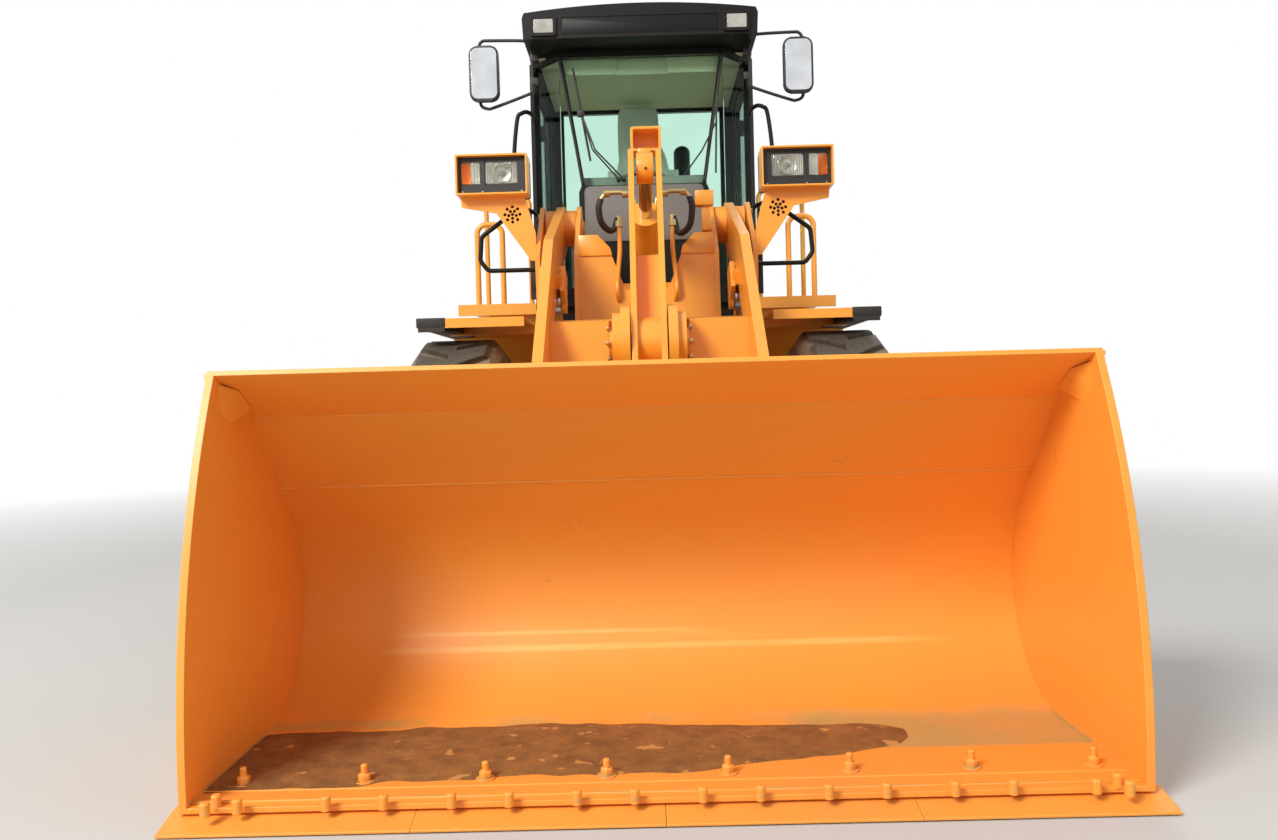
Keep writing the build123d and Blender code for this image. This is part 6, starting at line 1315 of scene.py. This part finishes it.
# %% Bracket trim
bm = bmesh.new()
turned(bm, [(0.0, 0.0), (0.0, 0.052), (0.004, 0.052), (0.004, 0.0)], (0.69, -0.7045, 2.012), (0, 1, 0), 28)
mirror_mesh(bm)
piece(bm, "rosette_plates", "front_body", "black_plastic", smooth=30)
print("rosette plates: 2")

# %% [markdown]
# ## Side plate welds and tower fittings
# A strip of thicker steel runs up the front of each side plate, and its weld shows as a fine line. On the
# towers, the ends of the boom's pins are kept by bolted plates, and a small valve box hangs inside the left
# one.

# %% Small welds and boxes
bm = bmesh.new()
strip_line = [(-3.262, 0.975), (-3.392, 0.434), (-3.404, 0.374), (-3.47, 0.06)]
tube(bm, [(bucket_inner, y, z) for y, z in strip_line], 0.006, sides=8)
mirror_mesh(bm)
piece(bm, "side_strip_welds", "bucket", "bucket_orange")
tower_face_x, boom_pin_y, boom_pin_z = 0.572, -0.385, 1.985
bm = bmesh.new()
for side in (-1, 1):
    bolt_circle(bm, (side * tower_face_x, boom_pin_y, boom_pin_z), side, 0.085, 4, 0.022, math.radians(45))
piece(bm, "tower_bolts", "front_body", "worn_steel", "zinc", smooth=30)
bm = bmesh.new()
block(bm, (0.259, -0.76, 2.026), (0.353, -0.69, 2.104), 0.006)
block(bm, (0.292, -0.74, 1.9), (0.33, -0.7, 2.03), 0.003)
block(bm, (0.292, -0.72, 1.9), (0.347, -0.52, 1.925), 0.003)
piece(bm, "valve_box", "front_body", "orange", smooth=30)
print("strip welds, tower bolts and valve box")

# %% [markdown]
# ## Cylinder pipes
# Each lift cylinder has a steel pipe clamped along its barrel, with a bend at both ends.

# %% Cylinder pipes
for name in ("lift_barrel_left", "lift_barrel_right"):
    low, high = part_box(name)
    x = (low[0] + high[0]) / 2
    foot, head = Vector((x, -0.175, 0.95)), Vector((x, -1.025, 1.52))
    along = (head - foot).normalized()
    over = Vector((0, -along.z, along.y))
    start, stop = foot + along * 0.14 + over * 0.058, foot + along * 0.6 + over * 0.058
    bm = bmesh.new()
    start_bend, stop_bend = start + over * 0.03, stop + over * 0.03
    tube(bm, [start_bend - along * 0.03, start_bend, stop_bend, stop + over * 0.004], 0.009, 0.02)
    for spot in (start + over * 0.002, start.lerp(stop, 0.5), stop):
        turned(bm, [(0, 0.017), (0.03, 0.017), (0.034, 0.012), (0.034, 0)], spot, over, 12)
    piece(bm, name.replace("barrel", "pipe"), name, "orange")
print("lift cylinder pipes: 2")

# %% [markdown]
# ## Hood and rear details
# Orange tube rails stand along the hood, and the mesh panels lie in the shallow recesses of the side doors.

# %% Hood rails and plates
rail_x, hood_rail = 0.45, [(1.7, 2.228), (1.7, 2.33), (2.5, 2.31), (2.5, 2.17)]
bm = bmesh.new()
for side in (-1, 1):
    tube(bm, [(side * rail_x, y, z) for y, z in hood_rail], 0.013, 0.06)
piece(bm, "hood_rails", "rear_body", "orange")
for hand, side in hands:
    bm = bmesh.new()
    place = (side * 0.6175, 2.61, 1.7425)
    prism(bm, rounded_outline(0.518, 0.328, 0.049), place, *facing_side, side * 0.002)
    piece(bm, "hood_mesh_" + hand, "hood_door_" + hand, "black_plastic", "mesh", smooth=0)
print("hood rails and mesh panels")

# %% [markdown]
# ## Rod eyes
# The tilt rod's eye is forged and painted like its cylinder. A thin painted sleeve covers its rim, and a
# dark disc on its face is painted shade for the bore where a set screw sits.

# %% Rod eyes
bm = bmesh.new()
sleeve = [
    (-0.0385, 0.0), (-0.0385, 0.0685), (-0.034, 0.0705), (0.034, 0.0705), (0.0385, 0.0685), (0.0385, 0.0),
]
turned(bm, sleeve, (0, -1.355, 2.09), (1, 0, 0), 40)
piece(bm, "tilt_rod_eye", "tilt_rod", "orange", smooth=40)
bm = bmesh.new()
# Painted shade: a dark rubber disc stands out of the eye's face where the bore and its set screw lie in shade
turned(bm, [(0.0, 0.0065), (0.0035, 0.006), (0.0035, 0.0)], (0.004, -1.4246, 2.075), (0, -1, 0.1), 16)
piece(bm, "rod_eye_bore_shade", "tilt_rod", "black_plastic", "rubber", smooth=30)
print("rod eye painted")
